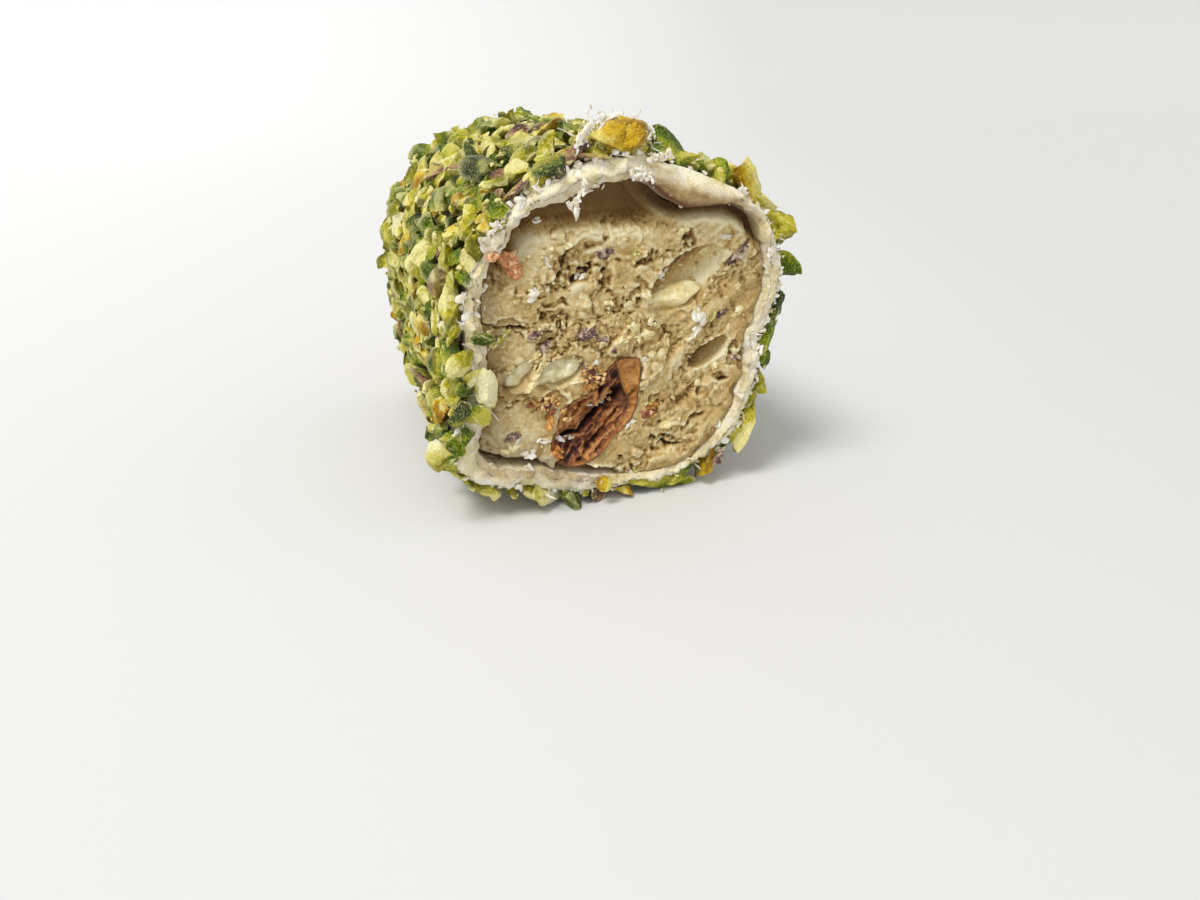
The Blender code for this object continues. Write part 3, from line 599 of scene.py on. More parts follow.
def skin_material():
    """The wrapper: floury at its torn rims, tan inside and, as painted shade, down the lip, with a painted
    brown shadow under the lip, green with nut powder outside, darkened as painted shade between the chips.
    """
    made = Shader("wrapper_skin", 0.75, subsurface=0.2, radius=(1.0, 0.8, 0.5), scale=0.6 * MM, sheen=0.1)
    lumps = made.noise(1.1 * MM, 4.0, 0.6)
    fine = made.noise(0.3 * MM, 3.0, 0.6)
    blotches = made.add(made.math("MULTIPLY", made.noise(2.6 * MM, 2.0), 0.6), lumps, 0.4)
    white = made.ramp(blotches, (0.28, 200, 182, 108), (0.42, 240, 226, 176), (0.55, 251, 243, 214),
                      (0.66, 255, 253, 242))
    tan = made.ramp(lumps, (0.3, 140, 104, 54), (0.7, 204, 174, 118))
    # Green nut powder, dark enough to stand for painted shade in the gaps between the chips.
    dust_and_shade = made.ramp(fine, (0.3, 54, 52, 6), (0.55, 100, 94, 20), (0.8, 160, 150, 60))
    # The tan mask is the real tan of the inside and rims, and painted shade down the lip.
    inside = made.mix(made.attribute("tan"), white, tan)
    # Painted brown shadow under the lip.
    inside = made.mix(made.attribute("brown"), inside, (112, 68, 26))
    colour = made.mix(made.attribute("dust_and_shade"), inside, dust_and_shade)
    return made.finish(colour, made.add(lumps, fine, 0.8), 0.4 * MM, 0.9)


def filling_material():
    """The nut filling: lighter where it stands out and warm brown in its pits, as painted light and shade, with
    faint patches.
    """
    made = Shader("filling_crumb", 0.8, subsurface=0.08, radius=(1.0, 0.6, 0.25), scale=0.5 * MM, sheen=0.05)
    fine = made.noise(0.32 * MM, 6.0, 0.78)
    level = made.stir(made.attribute("relief_shade_and_tone"), fine, 0.75)
    level = made.stir(level, made.noise(4.5 * MM, 3.0), 0.45)
    base = made.ramp(level, (0.08, 74, 46, 10), (0.28, 140, 102, 44), (0.44, 202, 169, 102),
                     (0.58, 224, 196, 132), (0.8, 253, 241, 198))
    # Darkened towards a warm brown: painted shade by the rim, in the top hollow and on the left, and a real
    # tint near the fig.
    return made.finish(made.mix(made.attribute("stain_and_shade"), base, (104, 70, 18)), fine, 0.3 * MM, 0.9)


def kernel_material(name, *stops):
    made = Shader(name, 0.55, subsurface=0.2, radius=(1.0, 0.8, 0.4), scale=0.8 * MM)
    colour = made.ramp(made.noise(1.4 * MM, 5.0, 0.65), *stops)
    return made.finish(colour, made.noise(0.5 * MM, 4.0), 0.14 * MM, 0.7)


def fig_material():
    """Dried fig: nearly black in its folds and red-brown on their backs, as painted shade and light, with a tan
    skin at its edge.
    """
    made = Shader("fig_flesh", 0.38, subsurface=0.1, radius=(1.0, 0.35, 0.12), scale=0.6 * MM)
    fine = made.noise(0.4 * MM, 5.0, 0.72)
    level = made.stir(made.attribute("relief_shade_and_tone"), fine, 0.8)
    flesh = made.ramp(level, (0.1, 30, 8, 4), (0.32, 80, 30, 10), (0.55, 140, 76, 32), (0.8, 204, 146, 86))
    gold = made.ramp(made.noise(2.2 * MM, 3.0), (0.5, 0), (0.68, 0.5))
    flesh = made.mix(made.math("MULTIPLY", gold, level), flesh, (186, 124, 44))
    worn = made.add(made.math("MULTIPLY", fine, 0.5), made.noise(1.3 * MM, 3.0), 0.5)
    skin = made.ramp(worn, (0.34, 120, 62, 14), (0.5, 186, 122, 48), (0.64, 220, 168, 96))
    return made.finish(made.mix(made.attribute("skin"), flesh, skin), fine, 0.2 * MM, 0.9)


def grain_material(name, roughness, size, *stops):
    """A plain speckled stuff, for crumbs, flakes, seeds and shreds."""
    made = Shader(name, roughness, subsurface=0.15, radius=(1.0, 0.7, 0.4))
    grain = made.noise(size * MM, 3.0, 0.6)
    colour = made.ramp(made.math("ADD", grain, made.attribute("tone")), *stops)
    return made.finish(colour, grain, 0.1 * MM, 0.6)


# The wrapper

def make_skin(material):
    """The wrapper's skin, in rows along the outside, round the back rim, along the inside, round the front."""
    angle = 360 * np.arange(SKIN_COLUMNS) / SKIN_COLUMNS
    front, back = rim_end(angle, FRONT), rim_end(angle, BACK)

    def stations(count, surface):
        ends = [front + (back - front) * s for s in np.linspace(0, 1, count)]
        return [(surface(angle, y), y) for y in ends]

    def rim(y, end):
        outer, inner = outer_radius(angle, y), inner_radius(angle, y)
        dome = RIM_ROUNDING * (1 + flap(angle) * (end == FRONT))
        return [(outer + (inner - outer) * part, y + end * dome * np.sin(pi * part))
                for part in np.linspace(0, 1, SKIN_ROWS_RIM + 2)[1:-1]]

    rows = stations(SKIN_ROWS_OUTSIDE, outer_radius) + rim(back, BACK)
    rows += stations(SKIN_ROWS_INSIDE, inner_radius)[::-1] + rim(front, FRONT)[::-1]
    kinds = np.repeat((0, 1, 2, 1), (SKIN_ROWS_OUTSIDE, SKIN_ROWS_RIM, SKIN_ROWS_INSIDE, SKIN_ROWS_RIM))[None]
    outside, at_rim, inside = kinds == 0, kinds == 1, kinds == 2

    radius, y = np.array(rows).transpose(1, 2, 0)
    angle = angle[:, None]
    outer, inner = outer_radius(angle, y), inner_radius(angle, y)
    radius = radius - SKIN_UNDER_COAT * (radius > inner + 1 * MM)
    points = around(radius, angle, y)
    near_front = np.clip(1 - (y + LENGTH / 2) / SKIN_RIM_DEPTH, 0, 1)
    near_rim = np.maximum(near_front, np.clip(1 - (LENGTH / 2 - y) / SKIN_RIM_DEPTH, 0, 1))
    lip = flap(angle) * (near_front > 0)
    rough = (0.25 + 0.75 * np.maximum(near_rim, at_rim)) * (1 - 0.75 * lip)
    points = points + rough[..., None] * (0.36 * MM * vector_noise(points, 1.7 * MM, 17)
                                          + 0.24 * MM * vector_noise(points, 0.75 * MM, 23)
                                          + 0.12 * MM * vector_noise(points, 0.36 * MM, 24))
    inwards = np.clip(1 - (radius - inner) / (outer - inner), 0, 1)
    inside_tan = inside * smooth_step(1.2 - 1.2 * near_rim)
    # The rims' inner half is tan; down the lip the tan deepens towards its inner edge as painted shade.
    rim_tan_and_lip_shade = 0.3 * smooth_step(inwards * 1.5 - 0.5) + 1.0 * lip * smooth_step(1.9 * inwards - 0.4)
    low_tan = 0.75 * bell(angle, -118, 28) * smooth_step(2 * inwards - 0.7)
    # A painted brown shadow line under the lip: on the rim's inner edge there and on the inside behind it.
    under_lip = smooth_step(flap(angle) * 3 - 0.2) * (near_front > 0)
    attributes = {
        # The outside's green powder, darkened to stand for painted shade between the chips.
        "dust_and_shade": outside * smooth_step(1.3 - 1.6 * near_rim),
        "tan": np.maximum(np.maximum(inside_tan, at_rim * rim_tan_and_lip_shade), at_rim * low_tan),
        "brown": under_lip * np.maximum(at_rim * smooth_step((inwards - 0.84) / 0.1), inside),
    }
    index = np.arange(radius.size).reshape(radius.shape)
    across = np.roll(index, -1, 0)
    quads = np.stack([index, across, np.roll(across, -1, 1), np.roll(index, -1, 1)], axis=-1).reshape(-1, 4)
    keep(add_object("wrapper_skin", points, [quads], material, attributes), "wrapper", "wrapper")


# The chopped pistachios

def crowded(site, others):
    """Whether a site lies on one of the large pieces."""
    return any(hypot(radians(turn_away(site[0], other[0])) * WRAPPER_RADIUS, site[1] - other[1])
               < (other[2] + site[3]) / 2.6 for other in others)


def pistachio_sites(large, draw):
    """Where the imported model's scattered pieces sit, each (angle, y, length, width, turn, rise)."""
    sites = []
    for row in range(PISTACHIO_ROWS):
        y = -LENGTH / 2 + END_MARGIN + (LENGTH - 2 * END_MARGIN) * row / (PISTACHIO_ROWS - 1)
        count = int(2 * pi * WRAPPER_RADIUS / PISTACHIO_PITCH)
        for c in range(count):
            angle = 360 * (c + 0.5 * (row % 2) + draw.uniform(-0.28, 0.28)) / count
            place = y + draw.uniform(-0.2, 0.2) * PISTACHIO_PITCH
            place = min(LENGTH / 2 - END_MARGIN, max(END_MARGIN - LENGTH / 2, place))
            length = draw.uniform(*PISTACHIO_LENGTH)
            width = length * draw.uniform(0.6, 0.85)
            site = (angle, place, length, width, draw.uniform(0, 180), draw.uniform(*PISTACHIO_RISE))
            bare_flap = flap(angle) > 0.4 and place < -LENGTH / 2 + 3 * MM
            if not bare_flap and not crowded(site, large):
                sites.append(site)
    return sites


def filler_sites(sites, draw):
    """Smaller pieces thrown at the gaps between those that are there, largest first."""
    taken = [(s[0], s[1], s[3]) for s in sites]
    made = []
    for shortest, longest, tries in FILLER_LENGTHS:
        for _ in range(tries):
            angle = draw.uniform(0, 360)
            y = draw.uniform(0.9 * MM - LENGTH / 2, LENGTH / 2 - 0.9 * MM)
            length = draw.uniform(shortest * MM, longest * MM)
            width = length * draw.uniform(0.6, 0.9)
            turn, rise = draw.uniform(0, 180), draw.uniform(0.0, FILLER_RISE)
            if flap(angle) > 0.35 and y < 2.6 * MM - LENGTH / 2:
                continue
            others = np.array(taken)
            away = np.radians(turn_away(others[:, 0], angle)) * WRAPPER_RADIUS
            room = np.hypot(away, others[:, 1] - y) - FILLER_CLOSENESS * (others[:, 2] + width)
            if room.min() > 0:
                taken.append((angle, y, width))
                made.append((angle, y, length, width, turn, rise))
    return made


def sphere(level):
    """The points and triangles of a round mesh."""
    shape = bmesh.new()
    bmesh.ops.create_icosphere(shape, subdivisions=level, radius=1.0)
    points = np.array([v.co[:] for v in shape.verts])
    faces = np.array([[v.index for v in f.verts] for f in shape.faces])
    shape.free()
    return points, faces


def unit_vectors(count, draw):
    vectors = draw.normal(size=(count, 3))
    return vectors / np.linalg.norm(vectors, axis=1, keepdims=True)


def chips(count, level, draw):
    """Chopped lumps of unit half size: balls cut by flat planes, with a run from skin to heart."""
    ball, faces = sphere(level)
    points = np.repeat(ball[None], count, axis=0)
    for _ in range(LUMP_CUTS):
        normal = unit_vectors(count, draw)
        offset = draw.uniform(0.26, 0.72, size=(count, 1))
        past = np.einsum("gvi,gi->gv", points, normal) - offset
        points = points - np.maximum(past, 0)[..., None] * normal[:, None]
    shape = points + draw.uniform(-50, 50, size=(count, 1, 3))
    points = points * 1.37 + 0.1 * (1.3 * vector_noise(shape, 0.8, 3) + vector_noise(shape, 0.32, 8))
    if level > 2:
        points = points + 0.05 * vector_noise(shape, 0.16, 9)
    heart = 0.5 + 0.6 * np.einsum("gvi,gi->gv", points, unit_vectors(count, draw))
    return points, faces, heart


def place_chips(points, items, draw, tipped):
    """Scales lumps, tips them and puts them in place, each item (centre, stand, sizes, turn)."""
    placed = np.empty_like(points)
    for g, (centre, stand, sizes, turn) in enumerate(items):
        tip_x, tip_y = [Matrix.Rotation(radians(draw.uniform(-tipped, tipped)), 3, axis) for axis in "XY"]
        spin = stand @ Matrix.Rotation(radians(turn), 3, "Z") @ (tip_x @ tip_y)
        placed[g] = (points[g] * (np.array(sizes) / 2)) @ np.array(spin).T + centre
    placed[..., 2] = np.maximum(placed[..., 2], 0.02 * MM - MIDDLE[2])
    return placed


def make_lumps(name, material, slot, batches, seed, spread=0.2, tipped=28, sharp=31):
    """One piece of many lumps, from batches of (level of detail, items)."""
    draw = np.random.default_rng(seed)
    all_points, all_faces, hearts, tones = [], [], [], []
    total = 0
    for level, items in batches:
        if items:
            points, faces, heart = chips(len(items), level, draw)
            all_points.append(place_chips(points, items, draw, tipped).reshape(-1, 3))
            tone = draw.uniform(-spread, spread, size=(len(items), 1)) + 0 * heart
            steps = np.arange(len(items))[:, None, None] * points.shape[1]
            all_faces.append((faces[None] + steps).reshape(-1, 3) + total)
            hearts.append((heart + tone).ravel())
            tones.append(tone.ravel())
            total += heart.size
    made = add_object(name, np.concatenate(all_points), all_faces, material,
                      {"heart": np.concatenate(hearts), "tone": np.concatenate(tones)})
    made.data.set_sharp_from_angle(angle=radians(sharp))
    keep(made, slot)


def on_coat(angle, y, out):
    """A place over the coat and how a piece stands there. The coat is pressed down at the back's top."""
    pressed = min(1.0, max(0.0, y / (0.3 * LENGTH))) * bell(angle, 95, 26)
    heaped = (0.5 + y / LENGTH) * bell(angle, 178, 22)
    out = float(outer_radius(np.float64(angle), y)) + out + (0.2 * heaped - 0.9 * pressed) * MM
    return outwards(angle) * out + np.array([0.0, y, 0.0]), Matrix.Rotation(radians(90 - angle), 3, "Y")


def coat_item(site, thick):
    """A site on the wrapper as the centre, stand, sizes and turn of a lump."""
    angle, y, length, width, turn, rise = site
    centre, stand = on_coat(angle, y, 0.72 * width * rise + 0.15 * thick)
    return centre, stand, (length * COAT_SCALE, width * COAT_SCALE, thick * COAT_SCALE), turn + 90


def front_chip(x, z, length, width, tilt):
    """A piece on the front rim as the centre, stand, sizes and turn of a lump."""
    thick = FRONT_CHIP_FLAT * width * MM
    back = TOP_CHIP_BACK if z > TOP_CHIP_HEIGHT else 0.0
    centre = np.array([x * MM, back - LENGTH / 2 - 0.35 * thick - 0.2 * MM, z * MM])
    return centre, FACING[FRONT], (length * COAT_SCALE * MM, width * COAT_SCALE * MM, thick), tilt


def make_coat(materials):
    """The coat of chopped pistachios, one piece for each kind."""
    def at_rim(nut, rise):
        angle, from_front, length, width, turn, _ = nut
        return angle, from_front * MM - LENGTH / 2, length * MM, width * MM, turn, rise

    large = [at_rim(nut, PISTACHIO_RISE[1]) for nut in LARGE_PISTACHIOS]
    scattered = pistachio_sites(large, random.Random(PISTACHIO_SEED))
    sites = large + [at_rim(nut, RIM_RISE) for nut in RIM_PISTACHIOS]
    sites += [(*s[:2], SITE_SHRINK * s[2], SITE_SHRINK * s[3], *s[4:]) for s in scattered]
    draw = random.Random(FILLER_SEED)
    sites += filler_sites(sites, draw)
    kinds = [nut[-1] for nut in LARGE_PISTACHIOS + RIM_PISTACHIOS]
    kinds += draw.choices(list(KINDS), [share for share, _ in KINDS.values()], k=len(sites) - len(kinds))
    for number, kind in enumerate(KINDS):
        flat = SKIN_FLATNESS if kind == "mauve" else NUT_FLATNESS
        near, far = [], []
        for site, site_kind in zip(sites, kinds):
            if site_kind == kind:
                fine = site[1] < NEAR_DEPTH - LENGTH / 2 and site[2] > NEAR_LENGTH
                thick = TALL_PISTACHIO if site is large[0] else flat * site[3]
                (near if fine else far).append(coat_item(site, thick))
        near += [front_chip(*chip[:-1]) for chip in FRONT_CHIPS if chip[-1] == kind]
        make_lumps(f"pistachio_{kind}", materials[kind], "wrapper", ((4, near), (3, far)), 100 + number)


def make_dust(green, white):
    """Small crumbs of nut over the coat, and flour in lumps along the rims and the shreds."""
    draw = random.Random(77)
    crumbs, flour = [], []
    for _ in range(COAT_CRUMBS):
        angle, y = draw.uniform(0, 360), draw.uniform(-LENGTH / 2, LENGTH / 2)
        size = draw.uniform(0.5, 1.3) * MM
        place = on_coat(angle, y, draw.uniform(0.3, 1.9) * MM)
        crumbs.append((*place, (size, 0.7 * size, 0.6 * size), draw.uniform(0, 180)))
    for _ in range(FLOUR_LUMPS):
        angle = draw.uniform(0, 360)
        end = draw.choice((FRONT, FRONT, FRONT, BACK))
        if end == FRONT and flap(angle) > 0.5 and draw.random() < 0.6:
            continue
        y = rim_y(angle, end) - end * draw.uniform(-0.3, 0.9) * MM
        outer, inner = outer_radius(np.float64(angle), y), inner_radius(np.float64(angle), y)
        share = draw.choice((draw.uniform(-0.1, 0.25), draw.uniform(0.0, 1.0)))
        size = draw.uniform(0.35, 1.3) * MM
        centre = outwards(angle) * float(outer + (inner - outer) * share) + np.array([0.0, y, 0.0])
        flour.append((centre, FACING[end], (size, 0.7 * size, 0.5 * size), draw.uniform(0, 180)))
    for path, widths in TOP_SHREDS:
        for _ in range(SHRED_TUFTS):
            share = draw.uniform(0, 1)
            steps = np.linspace(0, 1, len(path))
            centre = np.array([np.interp(share, steps, axis) for axis in np.array(path).T])
            centre += [draw.uniform(-0.4, 0.4) for _ in range(3)]
            size = draw.uniform(0.35, 0.6 + 0.5 * float(np.interp(share, steps, widths))) * MM
            flour.append((centre * MM, FACING[FRONT], (size, 0.55 * size, 0.5 * size), draw.uniform(0, 180)))
    make_lumps("pistachio_crumbs", green, "wrapper", ((2, crumbs),), 60)
    make_lumps("wrapper_flour", white, "wrapper", ((2, flour),), 61)


def tube(path, widths, sides=5):
    """The points, quads and end triangles of a tapering strand along a path."""
    path, widths = np.array(path, float) * MM, np.array(widths, float) * MM
    share = np.linspace(0, 1, len(path))
    fine = np.linspace(0, 1, 3 * len(path))
    path = np.stack([np.interp(fine, share, path[:, a]) for a in range(3)], axis=-1)
    widths = np.interp(fine, share, widths) * (1 + 0.45 * smooth_noise(path, 0.5 * MM, 12))
    path = path + 0.16 * MM * vector_noise(path, 0.7 * MM, 4)
    along = np.gradient(path, axis=0)
    along /= np.linalg.norm(along, axis=1, keepdims=True)
    side = np.cross(along, np.array([0.31, -0.92, 0.24]))
    side /= np.linalg.norm(side, axis=1, keepdims=True)
    up = np.cross(along, side)
    turn = 2 * pi * np.arange(sides) / sides
    ring = side[:, None] * np.cos(turn)[None, :, None] + 0.6 * up[:, None] * np.sin(turn)[None, :, None]
    points = (path[:, None] + ring * widths[:, None, None] / 2).reshape(-1, 3)
    index = np.arange(len(points)).reshape(len(path), sides)
    caps = [np.stack([np.roll(index[0], -1), index[0], np.full(sides, len(points))], axis=-1),
            np.stack([index[-1], np.roll(index[-1], -1), np.full(sides, len(points) + 1)], axis=-1)]
    points = np.concatenate([points, path[:1], path[-1:]])
    return points, np.concatenate(ring_quads(index)), np.concatenate(caps)


def make_strands(name, material, slot, strands):
    """One piece of many tapering strands, each (path, widths)."""
    all_points, quads, caps = [], [], []
    total = 0
    for path, widths in strands:
        points, sides, ends = tube(path, widths)
        all_points.append(points)
        quads.append(sides + total)
        caps.append(ends + total)
        total += len(points)
    faces = [np.concatenate(quads), np.concatenate(caps)]
    keep(add_object(name, np.concatenate(all_points), faces, material, {"tone": np.zeros(total)}), slot)


def shreds(draw):
    """The wrapper's torn shreds: large ones and a tuft of fibres at the top, and fibres round both rims."""
    def bent(place, heading, bend, long):
        return [place + heading * long * t + bend * t * t * long for t in (0, 0.35, 0.7, 1.0)]

    def vector(low, high):
        return np.array([draw.uniform(low, high) for _ in range(3)])

    strands = [(path, [0.7 * width for width in widths]) for path, widths in TOP_SHREDS]
    for _ in range(TOP_FIBRES):
        x = draw.uniform(-5.4, 3.6)
        y = draw.uniform(-23.2, -21.6)
        place = np.array([x, y, 22.0 - 0.09 * (x + 1) ** 2 + draw.uniform(-0.4, 1.4)])
        heading = np.array([draw.uniform(-1, 1), draw.uniform(-0.3, 0.3), draw.uniform(-0.2, 1)])
        path = bent(place, heading, vector(-0.8, 0.8), draw.uniform(0.5, 1.5))
        width = draw.uniform(0.1, 0.42)
        strands.append((path, (0.6 * width, width, width * 0.6, 0.06)))
    for _ in range(FIBRES):
        angle = draw.choice((draw.uniform(60, 140), draw.uniform(0, 360), draw.uniform(0, 360)))
        end = draw.choice((FRONT, FRONT, BACK))
        if end == FRONT and flap(angle) > 0.6:
            continue
        y = rim_y(angle, end)
        outer, inner = outer_radius(np.float64(angle), y) / MM, inner_radius(np.float64(angle), y) / MM
        radius = outer + (inner - outer) * draw.choice((draw.uniform(-0.1, 0.3), draw.uniform(0.7, 1.1)))
        place = outwards(angle) * radius + np.array([0.0, y / MM - end * 0.4, 0.0])
        long, swing = draw.uniform(0.6, 2.2), draw.uniform(-1, 1)
        turn = radians(angle)
        heading = np.array([-sin(turn) * swing, end * draw.uniform(0.2, 0.9), cos(turn) * swing])
        heading += 0.5 * draw.uniform(-0.4, 1) * outwards(angle)
        path = bent(place, heading, vector(-0.4, 0.4), long)
        width = draw.uniform(0.15, 0.5)
        strands.append((path, (width, width * 0.9, width * 0.6, 0.06)))
    return strands


# The filling

def dent_depth(end, x, z, place, seed):
    """Steep-sided dents with ragged edges, some left shallower."""
    push_x, push_z = [0.5 * MM * layered_noise(place, 1.4 * MM, 3, seed + 10 * a) for a in (0, 1)]
    left = 0.62 + 0.35 * layered_noise(place, 1.1 * MM, 2, seed + 20)
    depth = np.zeros_like(x)
    for *oval, deep in DENTS[end]:
        away = beyond_oval(x + push_x, z + push_z, oval)
        depth = np.maximum(depth, deep * MM * left * smooth_step((1.25 - away) / 0.7))
    return depth


def hollow_depth(end, x, z):
    """Deep smooth hollows, and how far each place lies inside one."""
    depth, within = np.zeros_like(x), np.zeros_like(x)
    for oval in HOLLOWS[end]:
        along, across = in_oval(x, z, oval)
        inside = 1 - along ** 2 - across ** 2
        depth = np.maximum(depth, HOLLOW_DEPTH * np.maximum(inside, 0) ** 0.7)
        within = np.maximum(within, smooth_step(inside * 4))
    return depth, within


def pit_height(x, z, draw):
    """Round pits scattered on a cut face, from 0 at their edges to 1 in the middle."""
    height = np.zeros_like(x)
    for _ in range(PITS):
        pit_x, pit_z = draw.uniform(-18 * MM, 18 * MM, size=2)
        size = draw.uniform(0.15 * MM, 0.5 * MM)
        stretch = draw.uniform(0.6, 1.6)
        near = (np.abs(x - pit_x) < 2 * size) & (np.abs(z - pit_z) < 2 * size)
        away = np.hypot((x[near] - pit_x) * stretch, (z[near] - pit_z) / stretch) / size
        height[near] = np.maximum(height[near], smooth_step(1.3 - away) * draw.uniform(0.5, 1.0))
    return height


def front_relief(x, z):
    """How deep each place of the front face lies, how calm it is, and its place in the noise."""
    place = np.stack([x, z, 0 * x], axis=-1)
    top = step_up(z, 11.3, 2.6) * step_up(-x, -6, 5)
    reach = np.hypot(x, z) / inner_radius(np.degrees(np.arctan2(z, x)), -LENGTH / 2)
    under_flap = smooth_step((reach - 0.88) / 0.1) * step_up(z, 8, 3)
    ridge_z = 12.3 * MM + 5 * MM * np.exp(-(x - 0.4 * MM) / (2.2 * MM))
    beyond_ridge = step_up(z - ridge_z, 0, 0.5) * (x > 0.2 * MM)
    ledge_z = -13.2 * MM - 0.3 * (x + 14 * MM) + 0.7 * MM * layered_noise(place, 2.2 * MM, 3, 40)
    ledge = step_up(ledge_z - z, 0, 0.7) * step_up(-x, -1, 2)
    hollow, within = hollow_depth(FRONT, x, z)
    calm = np.maximum(np.maximum(0.9 * top, 0.5 * under_flap), 0.92 * within)
    depth = FACE_RECESS + TOP_HOLLOW * top + 2.3 * MM * under_flap * (1 - top)
    depth = depth - 0.45 * MM * beyond_ridge * top + LEDGE_DROP * ledge + hollow
    return depth + dent_depth(FRONT, x, z, place, 50), calm, place


def back_relief(x, z):
    """The same for the back face."""
    place = np.stack([x, z, 0 * x + 60 * MM], axis=-1)
    hollow, within = hollow_depth(BACK, x, z)
    return FACE_RECESS + hollow + dent_depth(BACK, x, z, place, 51), 0.92 * within, place


def smeared(x, z):
    """How calm the front's paste is at each place, from 0 to 1."""
    calm = np.zeros_like(x)
    for oval in SMEARED:
        calm = np.maximum(calm, smooth_step((1.15 - beyond_oval(x, z, oval)) / 0.5))
    return calm


def streaks(place, seed):
    """Noise drawn out along the slope that the right side of the paste was torn along."""
    along, across = tilted(place[..., 0], place[..., 1], 0, 0, STREAK_TILT)
    return layered_noise(np.stack([0.32 * along, across, place[..., 2]], axis=-1), 1.5 * MM, 3, seed)


def crumble(depth, calm, place, end):
    """Adds the torn paste's surface to a face's depth: ragged flats, lumps, pits and grain."""
    seed = CRUMBLE_SEED[end]
    x, z = place[..., 0], place[..., 1]
    ragged = place + 0.45 * MM * vector_noise(place, 1.0 * MM, seed)
    ragged = ragged + 0.2 * MM * vector_noise(place, 0.4 * MM, seed)
    level = 1.5 * layered_noise(ragged, 4.4 * MM, 2, seed + 5)
    step = np.floor(level) + smooth_step((level - np.floor(level) - 0.5) / 0.22 + 0.5)
    torn = smooth_step(0.4 + 0.9 * smooth_noise(place, 3.6 * MM, seed + 6) - 0.25 * step)
    side = 0.3
    if end == FRONT:
        side = step_up(x, 2, 5)
        soft = smeared(ragged[..., 0], ragged[..., 1])
        torn = torn * (1 - 0.85 * soft)
        step = step * (1 - 0.6 * soft)
    lump_away, lump_number = cells(ragged, 1.25 * MM, seed)
    crumb_away, crumb_number = cells(ragged, 0.6 * MM, seed + 1)
    rough = -0.42 * MM * step + 0.2 * MM * layered_noise(place, 3.0 * MM, 2, seed + 2)
    rough = rough + torn * (0.45 * MM * (lump_away ** 2 - 0.3) + 0.25 * MM * lump_number)
    rough = rough + (0.16 + 0.84 * torn) * (0.24 * MM * (crumb_away ** 2 - 0.3) + 0.13 * MM * crumb_number)
    pits = pit_height(x, z, np.random.default_rng(seed))
    rough = rough + 0.06 * MM * layered_noise(place, 0.5 * MM, 2, seed + 3) + 0.5 * MM * pits * torn
    rough = rough * (1 - 0.35 * side) + side * 0.3 * MM * streaks(place, seed + 9)
    return np.maximum(depth + (1 - calm) * rough, 0.05 * MM)


def blurred(values, reach):
    """A box blur over a square lattice, with its edges repeated."""
    for axis in (0, 1):
        wide = np.concatenate([np.repeat(values.take([0], axis), reach + 1, axis), values,
                               np.repeat(values.take([-1], axis), reach, axis)], axis)
        total = np.cumsum(wide, axis)
        size = 2 * reach + 1
        values = (total.take(range(size, total.shape[axis]), axis)
                  - total.take(range(total.shape[axis] - size), axis)) / size
    return values


def stands_out(depth, reach, pixel):
    """How far each place stands out of what lies round it."""
    return blurred(depth, max(1, int(reach * MM / pixel))) - depth


def face_grid(end):
    """The points of a cut face, with painted light and shade from how far each place stands out of its
    surroundings, and where it is darkened.
    """
    share, angle = square_to_disc(FACE_GRID[end])
    radius = share * (inner_radius(angle, end * (LENGTH / 2 - FACE_RECESS)) - FILLING_GAP)
    x, _, z = np.moveaxis(around(radius, angle, 0 * angle), -1, 0)
    depth, calm, place = (front_relief if end == FRONT else back_relief)(x, z)
    depth = crumble(depth, calm, place, end)
    pixel = 34 * MM / FACE_GRID[end]
    # Painted light and shade: places that stand out of their surroundings are lighter, pits darker.
    fine, wide = stands_out(depth, 0.5, pixel), stands_out(depth, 1.8, pixel)
    relief_shade_and_tone = 0.5 + 0.34 * fine / (0.35 * MM) + 0.2 * wide / (0.9 * MM)
    relief_shade_and_tone = relief_shade_and_tone - 0.25 * np.maximum(relief_shade_and_tone - 0.7, 0)
    # Painted light and shade in the hollows: darker across one side, lighter towards the other.
    for oval in HOLLOWS[end]:
        along, across = in_oval(x, z, oval)
        lit = (0.5 if oval[2] > LARGE_HOLLOW else 0.28) - 0.35 * across + 0.15 * along
        relief_shade_and_tone = relief_shade_and_tone + (lit - relief_shade_and_tone) * smooth_step((1.05 - np.hypot(along, across)) / 0.15)
    fig_share = fig_place(x, z, end)[2]
    # A real darker tint in patches near the fig, and painted shade in a band round the rim.
    stain_and_shade = 0.5 * smooth_step(1.7 - fig_share) * smooth_step(0.1 + layered_noise(place, 2.2 * MM, 2, 70))
    stain_and_shade = np.maximum(stain_and_shade, 0.4 * smooth_step((share - 0.93) / 0.07))
    # Painted shade on the front: in the top hollow under the rim, along the top edge and on the left side.
    if end == FRONT:
        stain_and_shade = np.maximum(stain_and_shade, 0.9 * step_up(z, 11.8, 3) * step_up(-x, -9, 5))
        stain_and_shade = np.maximum(stain_and_shade, smooth_step((share - 0.9) / 0.1) * step_up(z, 9, 3))
        stain_and_shade = np.maximum(stain_and_shade, 0.6 * smooth_step((share - 0.72) / 0.28) * step_up(-x, 5, 5))
        relief_shade_and_tone = relief_shade_and_tone + 0.1 * smeared(x, z)
    ragged = 0.06 * layered_noise(place, 1.2 * MM, 3, 72)
    depth = depth + FIG_POCKET * smooth_step((1.02 + ragged - fig_share) / 0.07)
    for _, kernel_end, _, oval, _ in KERNELS:
        if kernel_end == end:
            under = smooth_step((1.12 - beyond_oval(x, z, oval)) / 0.2)
            depth = np.maximum(depth, under * (FACE_RECESS + 1.1 * MM))
    return np.stack([x, end * (LENGTH / 2 - depth), z], axis=-1), relief_shade_and_tone, stain_and_shade


